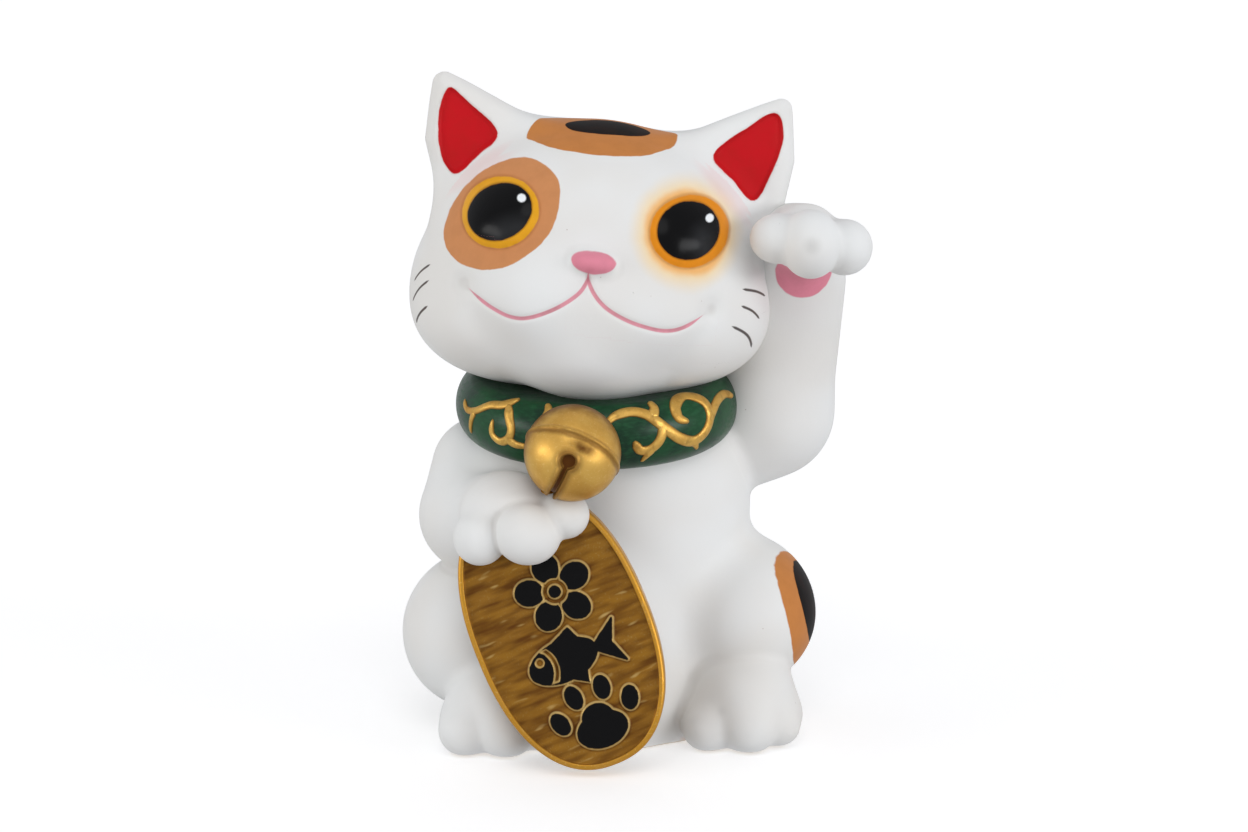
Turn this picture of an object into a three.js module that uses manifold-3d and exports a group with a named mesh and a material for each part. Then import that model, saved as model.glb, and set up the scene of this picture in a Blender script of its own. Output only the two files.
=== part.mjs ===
// A hollow ceramic beckoning cat, 173 mm tall, built from luted pieces.
// Millimetres, +Z up. The cat faces -Y, so +X is on the right of someone who looks at its face.
// The origin is on the table, in the middle of the figure's bounding box.
import * as THREE from "three";
import { mergeVertices } from "three/addons/utils/BufferGeometryUtils.js";
import Module from "manifold-3d";

const wasm = await Module();
wasm.setup();

// ---------- Driving dimensions ----------

const FIGURE_OFFSET = [1.29, 0.9, 0]; // moves the modelling origin, under the body, to the box's middle
const GAP = 0.3; // clearance between two luted pieces
const WALL = 4.5; // thickness of the cast shells
const FLOOR = 6; // thickness of the base
const HOLLOW_TOP = 80; // the trunk's hollow stops at the neck
const COARSE_FACETS = 16; // round a hollow, which nobody sees
const TRUNK_FACETS = 32; // round the trunk and the skull
const ROUND_FACETS = 28; // round the neck, the vent and the stopper
const PEG_FACETS = 12; // round a tenon
const OVERRUN = 4; // how far a cutter passes the face that it opens
const CUTTER = 400; // side of a block that trims everything on one side of a plane

// Each turned mass has an outline of [radius, height] points, and its depth is a share of its width.
const TORSO = {
  at: [-8.5, 6.5, 0],
  depth: 0.87,
  outline: [
    [33.5, 0], [37.5, 12], [38.2, 30], [38.4, 50], [38.8, 64], [35.4, 78], [26, 89.5], [13, 96], [0, 98],
  ],
};
const SKULL = {
  at: [0, 0, 0],
  depth: 0.825,
  outline: [
    [0, -34.5], [21, -33], [32.5, -28.8], [43, -21], [47.2, -10],
    [45, 1], [40.4, 13], [32, 24.5], [17, 33], [0, 35.5],
  ],
};

// Each ellipsoid is { at, radii, turn }: centre, half sizes, and degrees about X and then Y.
const BELLY = { at: [-14.5, -19.5, 27], radii: [21, 19.5, 31], turn: [-6, -16] };
const HAUNCHES = [
  { at: [-41, 0, 25.2], radii: [21.5, 28, 21], turn: [0, -6] },
  { at: [26.3, 2, 30.1], radii: [21.5, 28, 20.5], turn: [0, 8] },
];

const NECK = { at: [-10.5, 3, 86.3], radius: 27, tilt: 6, below: 16, above: 14 };
const COLLAR = { ring: 31, halfWidth: 6.2, halfHeight: 8.6, facets: 36, sectionFacets: 6 };
const SPIGOT = { at: [-12, 4], radius: 17, bore: 12.5, bottom: 79, top: 98 };

const HEAD_AT = [-10.6, 2, 125];
const HEAD_ROLL = 7.5;
const CHIN = { at: [0, -20, -19.5], radii: [20, 17, 14.5] };
const JOWL = { at: [-24.2, -2, -18.8], radii: [20.5, 28, 14.5] };
const MUZZLE = { at: [12, -29, -8], radii: [15, 10, 10] };
const NOSE = { at: [-0.9, -38.3, 3.8], radii: [5.4, 3.4, 2.8] };
const EYE = { at: [23.5, -27, 10.5], radii: [10.5, 7, 10] };
const EARS = [
  { tip: [-45, 39.4], inner: [-12.5, 27], outer: [-38.6, 8], bulge: [-45, 25] },
  { tip: [42.8, 44.2], inner: [11.5, 26.5], outer: [42.4, 10], bulge: [44.8, 31] },
];
const EAR = { edge: 3.2, bevel: 2.4, baseHalf: 8.5, tipHalf: 3.3, middle: 2.5 };

const BELL = { at: [-16.2, -43.8, 82.2], radius: 12.2, ridge: 0.8, ridgeHalf: 1.1, turn: 24, facets: 24 };
const BELL_HOLE = { aside: -1, height: -1.5, radius: 2.4, depth: 7 };
const BELL_SLOT = { aside: -2, height: -7, halfWidth: 1.1, length: 10 };

// Each round cone is { from, to, start, end }: its two ball centres and their radii.
const RAISED_ARM = [
  { from: [16, 14, 70], to: [34, 13, 80.5], start: 15, end: 15.2 },
  { from: [34.9, 12, 83.4], to: [40.3, 8, 118], start: 17, end: 14.6 },
];
const RAISED_PAW = { from: [40, 6, 126.5], to: [43, -10, 131.5], start: 12, end: 10 };
const RAISED_TOES = [
  { at: [34.8, -20, 134], radii: [8, 8.5, 7.2] },
  { at: [43.8, -23, 131.6], radii: [7.7, 10, 8.7] },
  { at: [52.6, -18, 130.2], radii: [7.2, 9, 7.2] },
];
const LOWERED_ARM = [
  { from: [-40.6, 5, 67.8], to: [-42.8, -2, 58.5], start: 13.9, end: 14.3 },
  { from: [-41, -8, 56.5], to: [-34, -30, 64], start: 12, end: 10.5 },
];
const HOLDING_PAW = [
  { at: [-31, -36, 65.5], radii: [14, 10, 9.5] },
  { at: [-39.5, -42, 60], radii: [6.2, 7, 6.6] },
  { at: [-27.6, -45, 61.6], radii: [7.6, 7.5, 7] },
  { at: [-18.2, -42, 66], radii: [6.2, 6, 6] },
];
// The koban's outline is a superellipse: a fullness of 2 is a plain oval, more is squarer.
const KOBAN = {
  at: [-19, -43, 36.8],
  turn: [-8, -22.5],
  halfWidth: 22.5,
  halfHeight: 36.6,
  fullness: 2.3,
  facets: 64,
  thickness: 6,
  rim: 1.8,
  recess: 0.8,
};
const FOOT_AT = { left_hind_paw: [-35.2, -20], right_hind_paw: [27.5, -16] };
const FOOT = { at: [0, 0, 12], radii: [14, 18, 14] };
const TOES = [
  { from: [-8, -6, 7.5], to: [-9, -10, 6.5], start: 8, end: 7 },
  { from: [1.5, -6, 8], to: [1.5, -12, 7], start: 8.2, end: 7.2 },
  { from: [9.5, -3, 7], to: [9.5, -8, 6], start: 6.2, end: 5.4 },
];
const TAIL = { from: [-8, 42, 14], to: [-8, 48, 32], start: 8, end: 7 };

// Each tenon is a round peg { from, to, radius } on a luted piece. It plugs into its neighbour.
const TENONS = {
  raised_arm: { from: [34, 12, 75], to: [22.5, 11, 72], radius: 5 },
  raised_paw: { from: [44, -2, 129], to: [43.5, 8, 114], radius: 4.5 },
  lowered_arm: { from: [-41, -15, 60], to: [-34.5, -9.6, 60], radius: 4.5 },
  holding_paw: { from: [-32, -34, 65], to: [-38, -21, 60], radius: 3.5 },
  left_hind_paw: { from: [-38, -26, 12], to: [-40, -14, 14], radius: 4 },
  right_hind_paw: { from: [29, -24, 12], to: [27, -12, 14], radius: 4 },
  tail: { from: [-8, 43, 18], to: [-8, 33, 18], radius: 3.5 },
  bell: { from: [-15.8, -42, 83], to: [-13.6, -29, 85], radius: 2.5 },
  koban: { from: [-18.8, -42, 33], to: [-17.5, -30, 31], radius: 5 },
};

const STOPPER = { at: [-7, 4], flange: 16, flangeHeight: 1.6, stem: 12.7, stemTip: 12.2, stemHeight: 6 };
const RECESS = { radius: 18, depth: 2.5 };
const VENT_RADIUS = 13;

// ---------- Solids: join and cut ----------

/** A closed three.js geometry as a solid that can be joined and cut. */
function solid(geometry) {
  const bare = geometry.index ? geometry.clone() : mergeVertices(geometry);
  bare.deleteAttribute("normal");
  bare.deleteAttribute("uv");
  const merged = mergeVertices(bare, 1e-4);
  const corners = merged.index.array;
  const kept = [];
  for (let i = 0; i < corners.length; i += 3) {
    const [a, b, c] = [corners[i], corners[i + 1], corners[i + 2]];
    if (a !== b && b !== c && c !== a) kept.push(a, b, c); // a lathe's poles give flat triangles
  }
  const vertProperties = new Float32Array(merged.attributes.position.array);
  return new wasm.Manifold(new wasm.Mesh({ numProp: 3, vertProperties, triVerts: new Uint32Array(kept) }));
}

const join = (...pieces) => pieces.reduce((whole, piece) => whole.add(piece));
const cut = (piece, ...cutters) => cutters.reduce((left, cutter) => left.subtract(cutter), piece);

/** A solid back as a three.js geometry. */
function geometryOf(piece) {
  const mesh = piece.getMesh();
  const geometry = new THREE.BufferGeometry();
  geometry.setAttribute("position", new THREE.BufferAttribute(mesh.vertProperties, 3));
  geometry.setIndex(new THREE.BufferAttribute(mesh.triVerts, 1));
  geometry.computeVertexNormals();
  return geometry;
}

// ---------- Shapes ----------

/** A frame at a point, turned by degrees about X and then about Y. */
function frameAt(at, [turnX, turnY] = [0, 0]) {
  const { degToRad } = THREE.MathUtils;
  return new THREE.Matrix4()
    .makeTranslation(...at)
    .multiply(new THREE.Matrix4().makeRotationY(degToRad(turnY)))
    .multiply(new THREE.Matrix4().makeRotationX(degToRad(turnX)));
}

/** Facets round a body of this radius: more on a large body, always a multiple of four. */
const facets = (radius) => 8 + 4 * Math.ceil(radius / 12);

/** An ellipsoid, grown on every side, in the given parent frame. Hollows take coarse facets. */
function ellipsoid({ at, radii, turn }, grow = 0, parent = new THREE.Matrix4()) {
  const around = grow < 0 ? COARSE_FACETS : facets(Math.max(...radii));
  const size = new THREE.Matrix4().makeScale(...radii.map((r) => r + grow));
  const place = parent.clone().multiply(frameAt(at, turn)).multiply(size);
  return solid(new THREE.SphereGeometry(1, around, around / 2).applyMatrix4(place));
}

/** A turned solid whose profile runs from the axis at the bottom to the axis at the top. */
function turned(profile, around, place = new THREE.Matrix4()) {
  const points = profile.map(([radius, height]) => new THREE.Vector2(radius, height));
  return solid(new THREE.LatheGeometry(points, around).applyMatrix4(place));
}

/** A turned mass with a smooth outline, flattened in depth and grown on every side. */
function turnedMass({ at, depth, outline }, grow = 0, parent = new THREE.Matrix4()) {
  const corners = outline.map(([radius, height]) => new THREE.Vector2(radius, height));
  const curve = new THREE.SplineCurve(corners).getPoints(grow < 0 ? 10 : 14);
  const start = curve[0].x > 0 ? [new THREE.Vector2(0, curve[0].y)] : [];
  const around = grow < 0 ? COARSE_FACETS : TRUNK_FACETS;
  const widest = Math.max(...outline.map(([radius]) => radius));
  const bottom = curve[0].y;
  const half = (curve.at(-1).y - bottom) / 2;
  const geometry = new THREE.LatheGeometry([...start, ...curve], around).rotateX(Math.PI / 2);
  geometry.translate(0, 0, -bottom - half);
  geometry.scale(1 + grow / widest, depth + grow / widest, 1 + grow / half);
  geometry.translate(0, 0, bottom + half);
  return solid(geometry.applyMatrix4(parent.clone().multiply(frameAt(at))));
}

/** The frame whose Y axis points from one point to another. */
function alongY(from, to) {
  const axis = new THREE.Vector3(...to).sub(new THREE.Vector3(...from)).normalize();
  const turn = new THREE.Quaternion().setFromUnitVectors(new THREE.Vector3(0, 1, 0), axis);
  return new THREE.Matrix4().compose(new THREE.Vector3(...from), turn, new THREE.Vector3(1, 1, 1));
}

/** Points along a quarter-plane arc, from one angle in degrees to another. */
function arc(radius, height, from, to, steps) {
  return Array.from({ length: steps + 1 }, (_, i) => {
    const angle = THREE.MathUtils.degToRad(from + ((to - from) * i) / steps);
    return [radius * Math.max(0, Math.cos(angle)), height + radius * Math.sin(angle)];
  });
}

/** Two balls and the cone that touches both. */
function roundCone({ from, to, start, end }, grow = 0) {
  const length = new THREE.Vector3(...from).distanceTo(new THREE.Vector3(...to));
  const lean = THREE.MathUtils.radToDeg(Math.asin((start - end) / length));
  const steps = facets(start) / 4;
  const profile = [
    ...arc(start + grow, 0, -90, lean, steps),
    ...arc(end + grow, length, lean, 90, steps),
  ];
  return turned(profile, facets(start), alongY(from, to));
}

/** A round peg between two points. */
function peg({ from, to, radius }, grow = 0) {
  const length = new THREE.Vector3(...from).distanceTo(new THREE.Vector3(...to)) + grow;
  const profile = [[0, 0], [radius + grow, 0], [radius + grow, length], [0, length]];
  return turned(profile, PEG_FACETS, alongY(from, to));
}

/** An upright cylinder between two heights. */
function post([x, y], radius, bottom, top, tipRadius = radius) {
  const profile = [[0, 0], [radius, 0], [tipRadius, top - bottom], [0, top - bottom]];
  return turned(profile, ROUND_FACETS, alongY([x, y, bottom], [x, y, top]));
}

/** A block that fills everything below a height. */
function below(height) {
  const block = new THREE.BoxGeometry(CUTTER, CUTTER, CUTTER);
  return solid(block.translate(0, 0, height - CUTTER / 2));
}

/** A block that fills everything above a height. */
function above(height) {
  const block = new THREE.BoxGeometry(CUTTER, CUTTER, CUTTER);
  return solid(block.translate(0, 0, height + CUTTER / 2));
}

// ---------- Body ----------

const tenon = (name, grow = 0) => peg(TENONS[name], grow);

/** The neck stub that carries the collar, square to the collar's plane. */
function neck(grow = 0) {
  const axis = frameAt(NECK.at, [NECK.tilt + 90, 0]);
  const radius = NECK.radius + grow;
  const profile = [[0, -NECK.below], [radius, -NECK.below], [radius, NECK.above], [0, NECK.above]];
  return turned(profile, ROUND_FACETS, axis);
}

/** The trunk, thighs and the swell behind the koban, as one closed form that stands on the table. */
function trunk(grow = 0) {
  const masses = [BELLY, ...HAUNCHES].map((mass) => ellipsoid(mass, grow));
  return cut(join(turnedMass(TORSO, grow), ...masses, neck(grow)), below(0));
}

/** The hollow that the slip leaves inside the trunk. */
function trunkHollow() {
  const masses = HAUNCHES.map((mass) => ellipsoid(mass, -WALL));
  return cut(join(turnedMass(TORSO, -WALL), ...masses), below(FLOOR), above(HOLLOW_TOP));
}

function bodyShell() {
  const vent = post(STOPPER.at, VENT_RADIUS, -OVERRUN, FLOOR + OVERRUN);
  const recess = post(STOPPER.at, RECESS.radius, -OVERRUN, RECESS.depth);
  const neckHole = post(SPIGOT.at, SPIGOT.radius + GAP, HOLLOW_TOP - 3 * OVERRUN, SPIGOT.top + OVERRUN);
  const sockets = ["raised_arm", "lowered_arm", "left_hind_paw", "right_hind_paw", "tail", "koban"];
  const holes = sockets.map((name) => tenon(name, GAP));
  return cut(trunk(), trunkHollow(), vent, recess, neckHole, skull(GAP), kobanForm(GAP), ...holes);
}

/** The bung that closes the vent: a flange in the recess and a tapered stem in the hole. */
function baseStopper() {
  const top = RECESS.depth - GAP;
  const flange = post(STOPPER.at, STOPPER.flange, top - STOPPER.flangeHeight, top);
  const stem = post(STOPPER.at, STOPPER.stem, top, top + STOPPER.stemHeight, STOPPER.stemTip);
  return join(flange, stem);
}

// ---------- Head ----------

const headFrame = () => frameAt(HEAD_AT, [0, HEAD_ROLL]);
const mirrored = ({ at: [x, y, z], radii }) => ({ at: [-x, y, z], radii });

/** A shape with round corners, which keeps a set distance outside its corner points. */
function roundedShape(points, radius) {
  const shape = new THREE.Shape();
  points.forEach(([x, y], i) => {
    const [px, py] = points.at(i - 1);
    const [nx, ny] = points[(i + 1) % points.length];
    const arrive = Math.atan2(y - py, x - px) - Math.PI / 2;
    const leave = Math.atan2(ny - y, nx - x) - Math.PI / 2;
    shape.absarc(x, y, radius, arrive, leave, false);
  });
  return shape;
}

/** An ear: a wedge with a rounded outline that grows thinner towards its tip. */
function ear({ tip, inner, outer, bulge }, grow = 0) {
  const corners = [tip, inner, outer, bulge];
  const [a, b, c] = corners.map(([x, y]) => new THREE.Vector2(x, y));
  if (b.clone().sub(a).cross(c.clone().sub(a)) < 0) corners.reverse();
  const depth = 2 * (EAR.baseHalf - EAR.bevel);
  const geometry = new THREE.ExtrudeGeometry(roundedShape(corners, EAR.edge + grow), {
    depth,
    curveSegments: 4,
    bevelThickness: EAR.bevel,
    bevelSize: EAR.bevel,
    bevelOffset: -EAR.bevel,
    bevelSegments: 2,
  });
  geometry.translate(0, 0, -depth / 2).rotateX(Math.PI / 2);
  const base = b.clone().add(c).divideScalar(2);
  const rise = a.clone().sub(base);
  const position = geometry.attributes.position;
  for (let i = 0; i < position.count; i++) {
    const spot = new THREE.Vector2(position.getX(i), position.getZ(i)).sub(base);
    const height = THREE.MathUtils.clamp(spot.dot(rise) / rise.lengthSq(), 0, 1);
    const half = THREE.MathUtils.lerp(EAR.baseHalf, EAR.tipHalf, height) + grow;
    position.setY(i, EAR.middle + (position.getY(i) * half) / EAR.baseHalf);
  }
  return solid(geometry.applyMatrix4(headFrame()));
}

const inHead = (masses, grow) => masses.map((mass) => ellipsoid(mass, grow, headFrame()));

/** The skull, chin and jowl without the face or the ears, grown on every side. */
const skull = (grow = 0) => join(turnedMass(SKULL, grow, headFrame()), ...inHead([CHIN, JOWL], grow));

const ears = (grow = 0) => EARS.map((shape) => ear(shape, grow));

/** The head's whole outer form. */
function head() {
  const face = inHead([MUZZLE, mirrored(MUZZLE), NOSE, EYE, mirrored(EYE)], 0);
  return join(skull(), ...face, ...ears());
}

/** The hollow skull, with the spigot that plugs into the neck and joins the two hollows. */
function headShell() {
  const hollow = turnedMass(SKULL, -WALL, headFrame());
  const spigot = post(SPIGOT.at, SPIGOT.radius, SPIGOT.bottom, SPIGOT.top);
  const bore = post(SPIGOT.at, SPIGOT.bore, SPIGOT.bottom - OVERRUN, SPIGOT.top + OVERRUN);
  return cut(join(cut(head(), hollow), cut(spigot, hollow)), bore, bell(GAP));
}

// ---------- Collar and bell ----------

/** A ring with an oval section, round the neck's axis. */
function collarRing(grow = 0) {
  const section = new THREE.Path();
  const [width, height] = [COLLAR.halfWidth + grow, COLLAR.halfHeight + grow];
  section.absellipse(COLLAR.ring, 0, width, height, -Math.PI, Math.PI, false);
  const ring = new THREE.LatheGeometry(section.getPoints(COLLAR.sectionFacets), COLLAR.facets);
  return solid(ring.applyMatrix4(frameAt(NECK.at, [NECK.tilt + 90, 0])));
}

/** The collar: it wraps the neck, rests on the shoulders and holds the bell. */
function collar() {
  return cut(collarRing(), trunk(GAP), skull(GAP), bell(GAP), tenon("bell", GAP));
}

/** A ball with a ridge round its middle. */
function bell(grow = 0) {
  const radius = BELL.radius + grow;
  const ridge = radius + BELL.ridge;
  const profile = [
    ...arc(radius, 0, -90, -8, 5),
    [ridge, -BELL.ridgeHalf],
    [ridge, BELL.ridgeHalf],
    ...arc(radius, 0, 8, 90, 5),
  ];
  return turned(profile, BELL.facets, frameAt(BELL.at, [90, BELL.turn]));
}

/** The bell with its sound hole and slot cut in the front, and the stub that holds it. */
function bellWithSlot() {
  const [x, y, z] = BELL.at;
  const [holeX, holeZ] = [x + BELL_HOLE.aside, z + BELL_HOLE.height];
  const front = [holeX, y - BELL.radius - OVERRUN, holeZ];
  const hole = peg({ from: front, to: [holeX, y - BELL_HOLE.depth, holeZ], radius: BELL_HOLE.radius });
  const slot = new THREE.BoxGeometry(2 * BELL_SLOT.halfWidth, 2 * BELL.radius, BELL_SLOT.length);
  slot.translate(x + BELL_SLOT.aside, y - BELL.radius, z + BELL_SLOT.height);
  return join(cut(bell(), hole, solid(slot)), tenon("bell"));
}

// ---------- Limbs, koban and tail ----------

const raisedArmForm = (grow = 0) => join(...RAISED_ARM.map((mass) => roundCone(mass, grow)));
const raisedPawForm = (grow = 0) =>
  join(roundCone(RAISED_PAW, grow), ...RAISED_TOES.map((toe) => ellipsoid(toe, grow)));
const loweredArmForm = (grow = 0) => join(...LOWERED_ARM.map((mass) => roundCone(mass, grow)));
const holdingPawForm = (grow = 0) => join(...HOLDING_PAW.map((mass) => ellipsoid(mass, grow)));

/** A pointed shape moved along with its foot. */
const shifted = ([x, y, z], [dx, dy]) => [x + dx, y + dy, z];

function hindPawForm(name, grow = 0) {
  const place = FOOT_AT[name];
  const sole = ellipsoid({ ...FOOT, at: shifted(FOOT.at, place) }, grow);
  const toes = TOES.map((toe) => {
    const moved = { ...toe, from: shifted(toe.from, place), to: shifted(toe.to, place) };
    return roundCone(moved, grow);
  });
  return join(sole, ...toes);
}

/** The koban's outline, grown on every side. */
function kobanOutline(grow) {
  const power = 2 / KOBAN.fullness;
  return Array.from({ length: KOBAN.facets }, (_, i) => {
    const angle = (2 * Math.PI * i) / KOBAN.facets;
    const [across, up] = [Math.cos(angle), Math.sin(angle)];
    const x = (KOBAN.halfWidth + grow) * Math.sign(across) * Math.abs(across) ** power;
    const y = (KOBAN.halfHeight + grow) * Math.sign(up) * Math.abs(up) ** power;
    return new THREE.Vector2(x, y);
  });
}

/** An upright plate in the koban's frame, between two depths. */
function kobanPlate(grow, front, back) {
  const shape = new THREE.Shape(kobanOutline(grow));
  const plate = new THREE.ExtrudeGeometry(shape, { depth: back - front, bevelEnabled: false });
  plate.translate(0, 0, -back).rotateX(Math.PI / 2);
  return solid(plate.applyMatrix4(frameAt(KOBAN.at, KOBAN.turn)));
}

/** The koban: a plate whose face lies inside a raised rim. */
function kobanForm(grow = 0) {
  const half = KOBAN.thickness / 2 + grow;
  const face = kobanPlate(grow - KOBAN.rim, -half - OVERRUN, KOBAN.recess - half);
  return cut(kobanPlate(grow, -half, half), face);
}

/** The koban, which rests on the belly under the paw that holds it. */
function koban() {
  const plate = cut(kobanForm(), loweredArmForm(GAP), holdingPawForm(GAP), bell(GAP), below(0));
  return join(plate, tenon("koban"));
}

function raisedArm() {
  const neighbours = [trunk(GAP), skull(GAP), ...ears(GAP), collarRing(GAP), raisedPawForm(GAP)];
  return join(cut(raisedArmForm(), ...neighbours, tenon("raised_paw", GAP)), tenon("raised_arm"));
}

function raisedPaw() {
  return join(cut(raisedPawForm(), skull(GAP), ...ears(GAP)), tenon("raised_paw"));
}

function loweredArm() {
  const neighbours = [trunk(GAP), collarRing(GAP), holdingPawForm(GAP)];
  return join(cut(loweredArmForm(), ...neighbours, tenon("holding_paw", GAP)), tenon("lowered_arm"));
}

function holdingPaw() {
  return join(cut(holdingPawForm(), trunk(GAP), bell(GAP)), tenon("holding_paw"));
}

function hindPaw(name) {
  const paw = cut(hindPawForm(name), trunk(GAP), kobanForm(GAP), below(0));
  return join(paw, tenon(name));
}

function tail() {
  return join(cut(roundCone(TAIL), trunk(GAP)), tenon("tail"));
}

// ---------- Materials and assembly ----------

const glaze = (color, roughness) => new THREE.MeshStandardMaterial({ color, roughness, metalness: 0 });
const WHITE = glaze(0xeeedea, 0.35);
const GREEN = glaze(0x14553a, 0.3);
const GOLD = new THREE.MeshStandardMaterial({ color: 0xb98a2e, roughness: 0.35, metalness: 0.6 });
const RUBBER = glaze(0x2b2a29, 0.8);

const PIECES = [
  ["body_shell", bodyShell, WHITE],
  ["head_shell", headShell, WHITE],
  ["collar", collar, GREEN],
  ["bell", bellWithSlot, GOLD],
  ["raised_arm", raisedArm, WHITE],
  ["raised_paw", raisedPaw, WHITE],
  ["lowered_arm", loweredArm, WHITE],
  ["holding_paw", holdingPaw, WHITE],
  ["koban", koban, GOLD],
  ["left_hind_paw", () => hindPaw("left_hind_paw"), WHITE],
  ["right_hind_paw", () => hindPaw("right_hind_paw"), WHITE],
  ["tail", tail, WHITE],
  ["base_stopper", baseStopper, RUBBER],
];

const cat = new THREE.Group();
cat.name = "beckoning_cat";
cat.position.set(...FIGURE_OFFSET);
for (const [name, make, material] of PIECES) {
  const mesh = new THREE.Mesh(geometryOf(make()), material);
  mesh.name = name;
  cat.add(mesh);
}

export default cat;
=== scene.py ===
"""A ceramic beckoning cat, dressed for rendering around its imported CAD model.

Every glazed form is a distance field: a function that takes points and gives how far each one
is from the surface, negative inside. Masses run into each other with soft joins, a mesh is laid
over the result, and the painted marks are distances that each vertex carries for its material.

Forms are modelled in millimetres on the figurine's own axis. The cat faces -Y, and "left" and
"right" are those of someone who looks at its face.
"""

import math

import bpy
import numpy as np
from mathutils import Matrix, Vector


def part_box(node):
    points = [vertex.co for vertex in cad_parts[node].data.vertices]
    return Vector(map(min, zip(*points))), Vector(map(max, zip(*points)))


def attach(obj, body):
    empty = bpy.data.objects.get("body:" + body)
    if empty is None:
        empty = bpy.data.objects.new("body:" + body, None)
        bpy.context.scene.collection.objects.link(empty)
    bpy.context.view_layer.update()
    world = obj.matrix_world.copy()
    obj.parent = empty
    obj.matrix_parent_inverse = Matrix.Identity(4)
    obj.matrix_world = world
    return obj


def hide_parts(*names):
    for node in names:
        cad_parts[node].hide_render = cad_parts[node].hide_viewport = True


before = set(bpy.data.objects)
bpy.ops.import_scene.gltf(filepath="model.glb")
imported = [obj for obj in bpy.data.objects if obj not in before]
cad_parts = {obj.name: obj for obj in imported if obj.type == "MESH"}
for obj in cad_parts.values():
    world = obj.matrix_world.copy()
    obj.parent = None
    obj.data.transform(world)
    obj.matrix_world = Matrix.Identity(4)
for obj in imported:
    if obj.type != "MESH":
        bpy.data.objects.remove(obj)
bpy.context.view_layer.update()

# ---------- Driving sizes, in millimetres ----------

MM = 0.001
COARSE = 1.0
SKIN_CELL = 0.85 * COARSE
HEAD_CELL = 0.75 * COARSE
COLLAR_CELL = 0.7 * COARSE
BELL_CELL = 0.32 * COARSE
STOPPER_CELL = 0.45 * COARSE
FAR = 60.0  # stands for "nowhere near" in a painted mark's distance
TINY = 1e-9  # keeps a division from dividing by nothing

STOPPER_AT = (-7.0, 4.0)
STOPPER = {"flange": 15.9, "lip": 0.45, "stem": 12.6, "stem_tip": 12.1, "wall": 2.2, "clearance": 0.3,
           "floor": 1.2, "rib": 0.3, "ribs_at": (4.2, 6.2), "rib_half": 0.5, "dish": 9.2,
           "dish_depth": 1.0, "bar_half": 1.7, "bar_depth": 0.15, "groove": 12.6, "groove_half": 0.5}
RECESS = {"radius": 18.0, "depth": 2.5}
VENT_RADIUS = 13.0
WALL = 4.5
FLOOR = 6.0
HOLLOW_TOP = 80.0
OVERLAP = 3.0  # how far openings run into each other
BELOW = -5.0  # openings in the base start well under it
NECK_BORE = {"at": (-12.0, 4.0), "radius": 12.5}

# Each mass is (softness of its join with the masses before it, centre, half sizes, turn),
# where turn is degrees about X and then about Y, and may be left out.
TORSO = [
    (0, (-9, 6, 64), (39, 32, 34)),
    (14, (-8, 7, 30), (38.5, 35, 40)),
    (10, (-6, 5, 9), (36, 33, 22)),
    (8, (-14.5, -19.5, 27), (21, 19.5, 31), (-6, -16)),
    (6, (26.3, 2, 30.1), (21.5, 28, 20.5), (0, 8)),
    (6, (-40.9, 0, 25.2), (21.5, 28, 21), (0, -6)),
]
HEAD_AT = (-10.6, 2, 125)
HEAD_TURN = (0, 7.5)
SKULL = [
    (0, (0, 1, 2.5), (42.5, 37, 33)),
    (9, (0, 0, -9.5), (47, 38, 24.5)),
    (7, (0, -2, -14), (43, 33, 19)),
    (7, (-24.2, -2, -18.8), (20.5, 28, 14.5)),
    (5, (0, -20, -19.5), (20, 17, 14.5)),
    (7, (-12, -29, -8), (15, 10, 10)),
    (7, (12, -29, -8), (15, 10, 10)),
    (3.0, (-0.9, -38.1, 3.6), (5.2, 3.2, 2.5)),
]
IRISES = [
    {"centre": (-25.7, 11.6), "half_sizes": (10.2, 8.2), "lean": 28},
    {"centre": (22.2, 13.2), "half_sizes": (10.1, 8.6), "lean": 0},
]
PUPILS = [
    {"centre": (-25.8, 11.9), "half_sizes": (8.6, 6.4), "lean": 33},
    {"centre": (21.8, 13.6), "half_sizes": (7.9, 6.9), "lean": 0},
]
EYE_SWELL = 2.3
EARS = [
    {"tip": (-45.0, 39.4), "inner": (-12.5, 27), "outer": (-38.6, 8), "bulge": (-45.0, 25)},
    {"tip": (42.8, 44.2), "inner": (11.5, 26.5), "outer": (42.4, 10), "bulge": (44.8, 31)},
]
EAR = {"edge": 3.2, "base_half": 8.5, "thinning": 5.2, "soft": 5.0, "join": 7.0}

# Each round cone is (softness, from, to, radius there, radius here).
RAISED_ARM = [(0, (16, 14, 70), (34, 13, 80.5), 15, 15.2), (8, (34.9, 12, 83.4), (40.3, 8, 118), 17, 14.6)]
LOWERED_ARM = [
    (0, (-40.6, 5, 67.8), (-42.9, -2, 57.6), 13.9, 14.4),
    (8, (-41, -8, 56.5), (-34, -30, 64), 12, 10.5),
]
RAISED_PALM = [(0, (40, 6, 126.5), (43, -10, 131), 12, 9.5)]
TAIL = [(0, (-8, 42, 14), (-8, 47.7, 32), 8, 6.9)]
RAISED_TOES = [
    (0, (35.6, -19.6, 132.6), (7.2, 8.3, 6.3)),
    (1.7, (43.8, -23, 131.6), (7.7, 10, 8.7)),
    (1.7, (52.6, -18, 130.2), (7.1, 9, 7.2)),
]
HOLDING_PAW = [
    (0, (-31, -35.6, 65.6), (13.8, 9.8, 9.2)),
    (2.4, (-39.3, -42, 60), (6.8, 7, 7.0)),
    (1.4, (-27.4, -45.4, 61.8), (8.4, 7.8, 7.9)),
    (1.8, (-18.2, -42.2, 66), (6.2, 6.4, 6)),
]
FOOT_AT = {"left_hind_paw": (-35.2, -20), "right_hind_paw": (27.5, -16)}
FOOT = [(0, (0, 0, 12), (14, 18, 14))]
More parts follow.
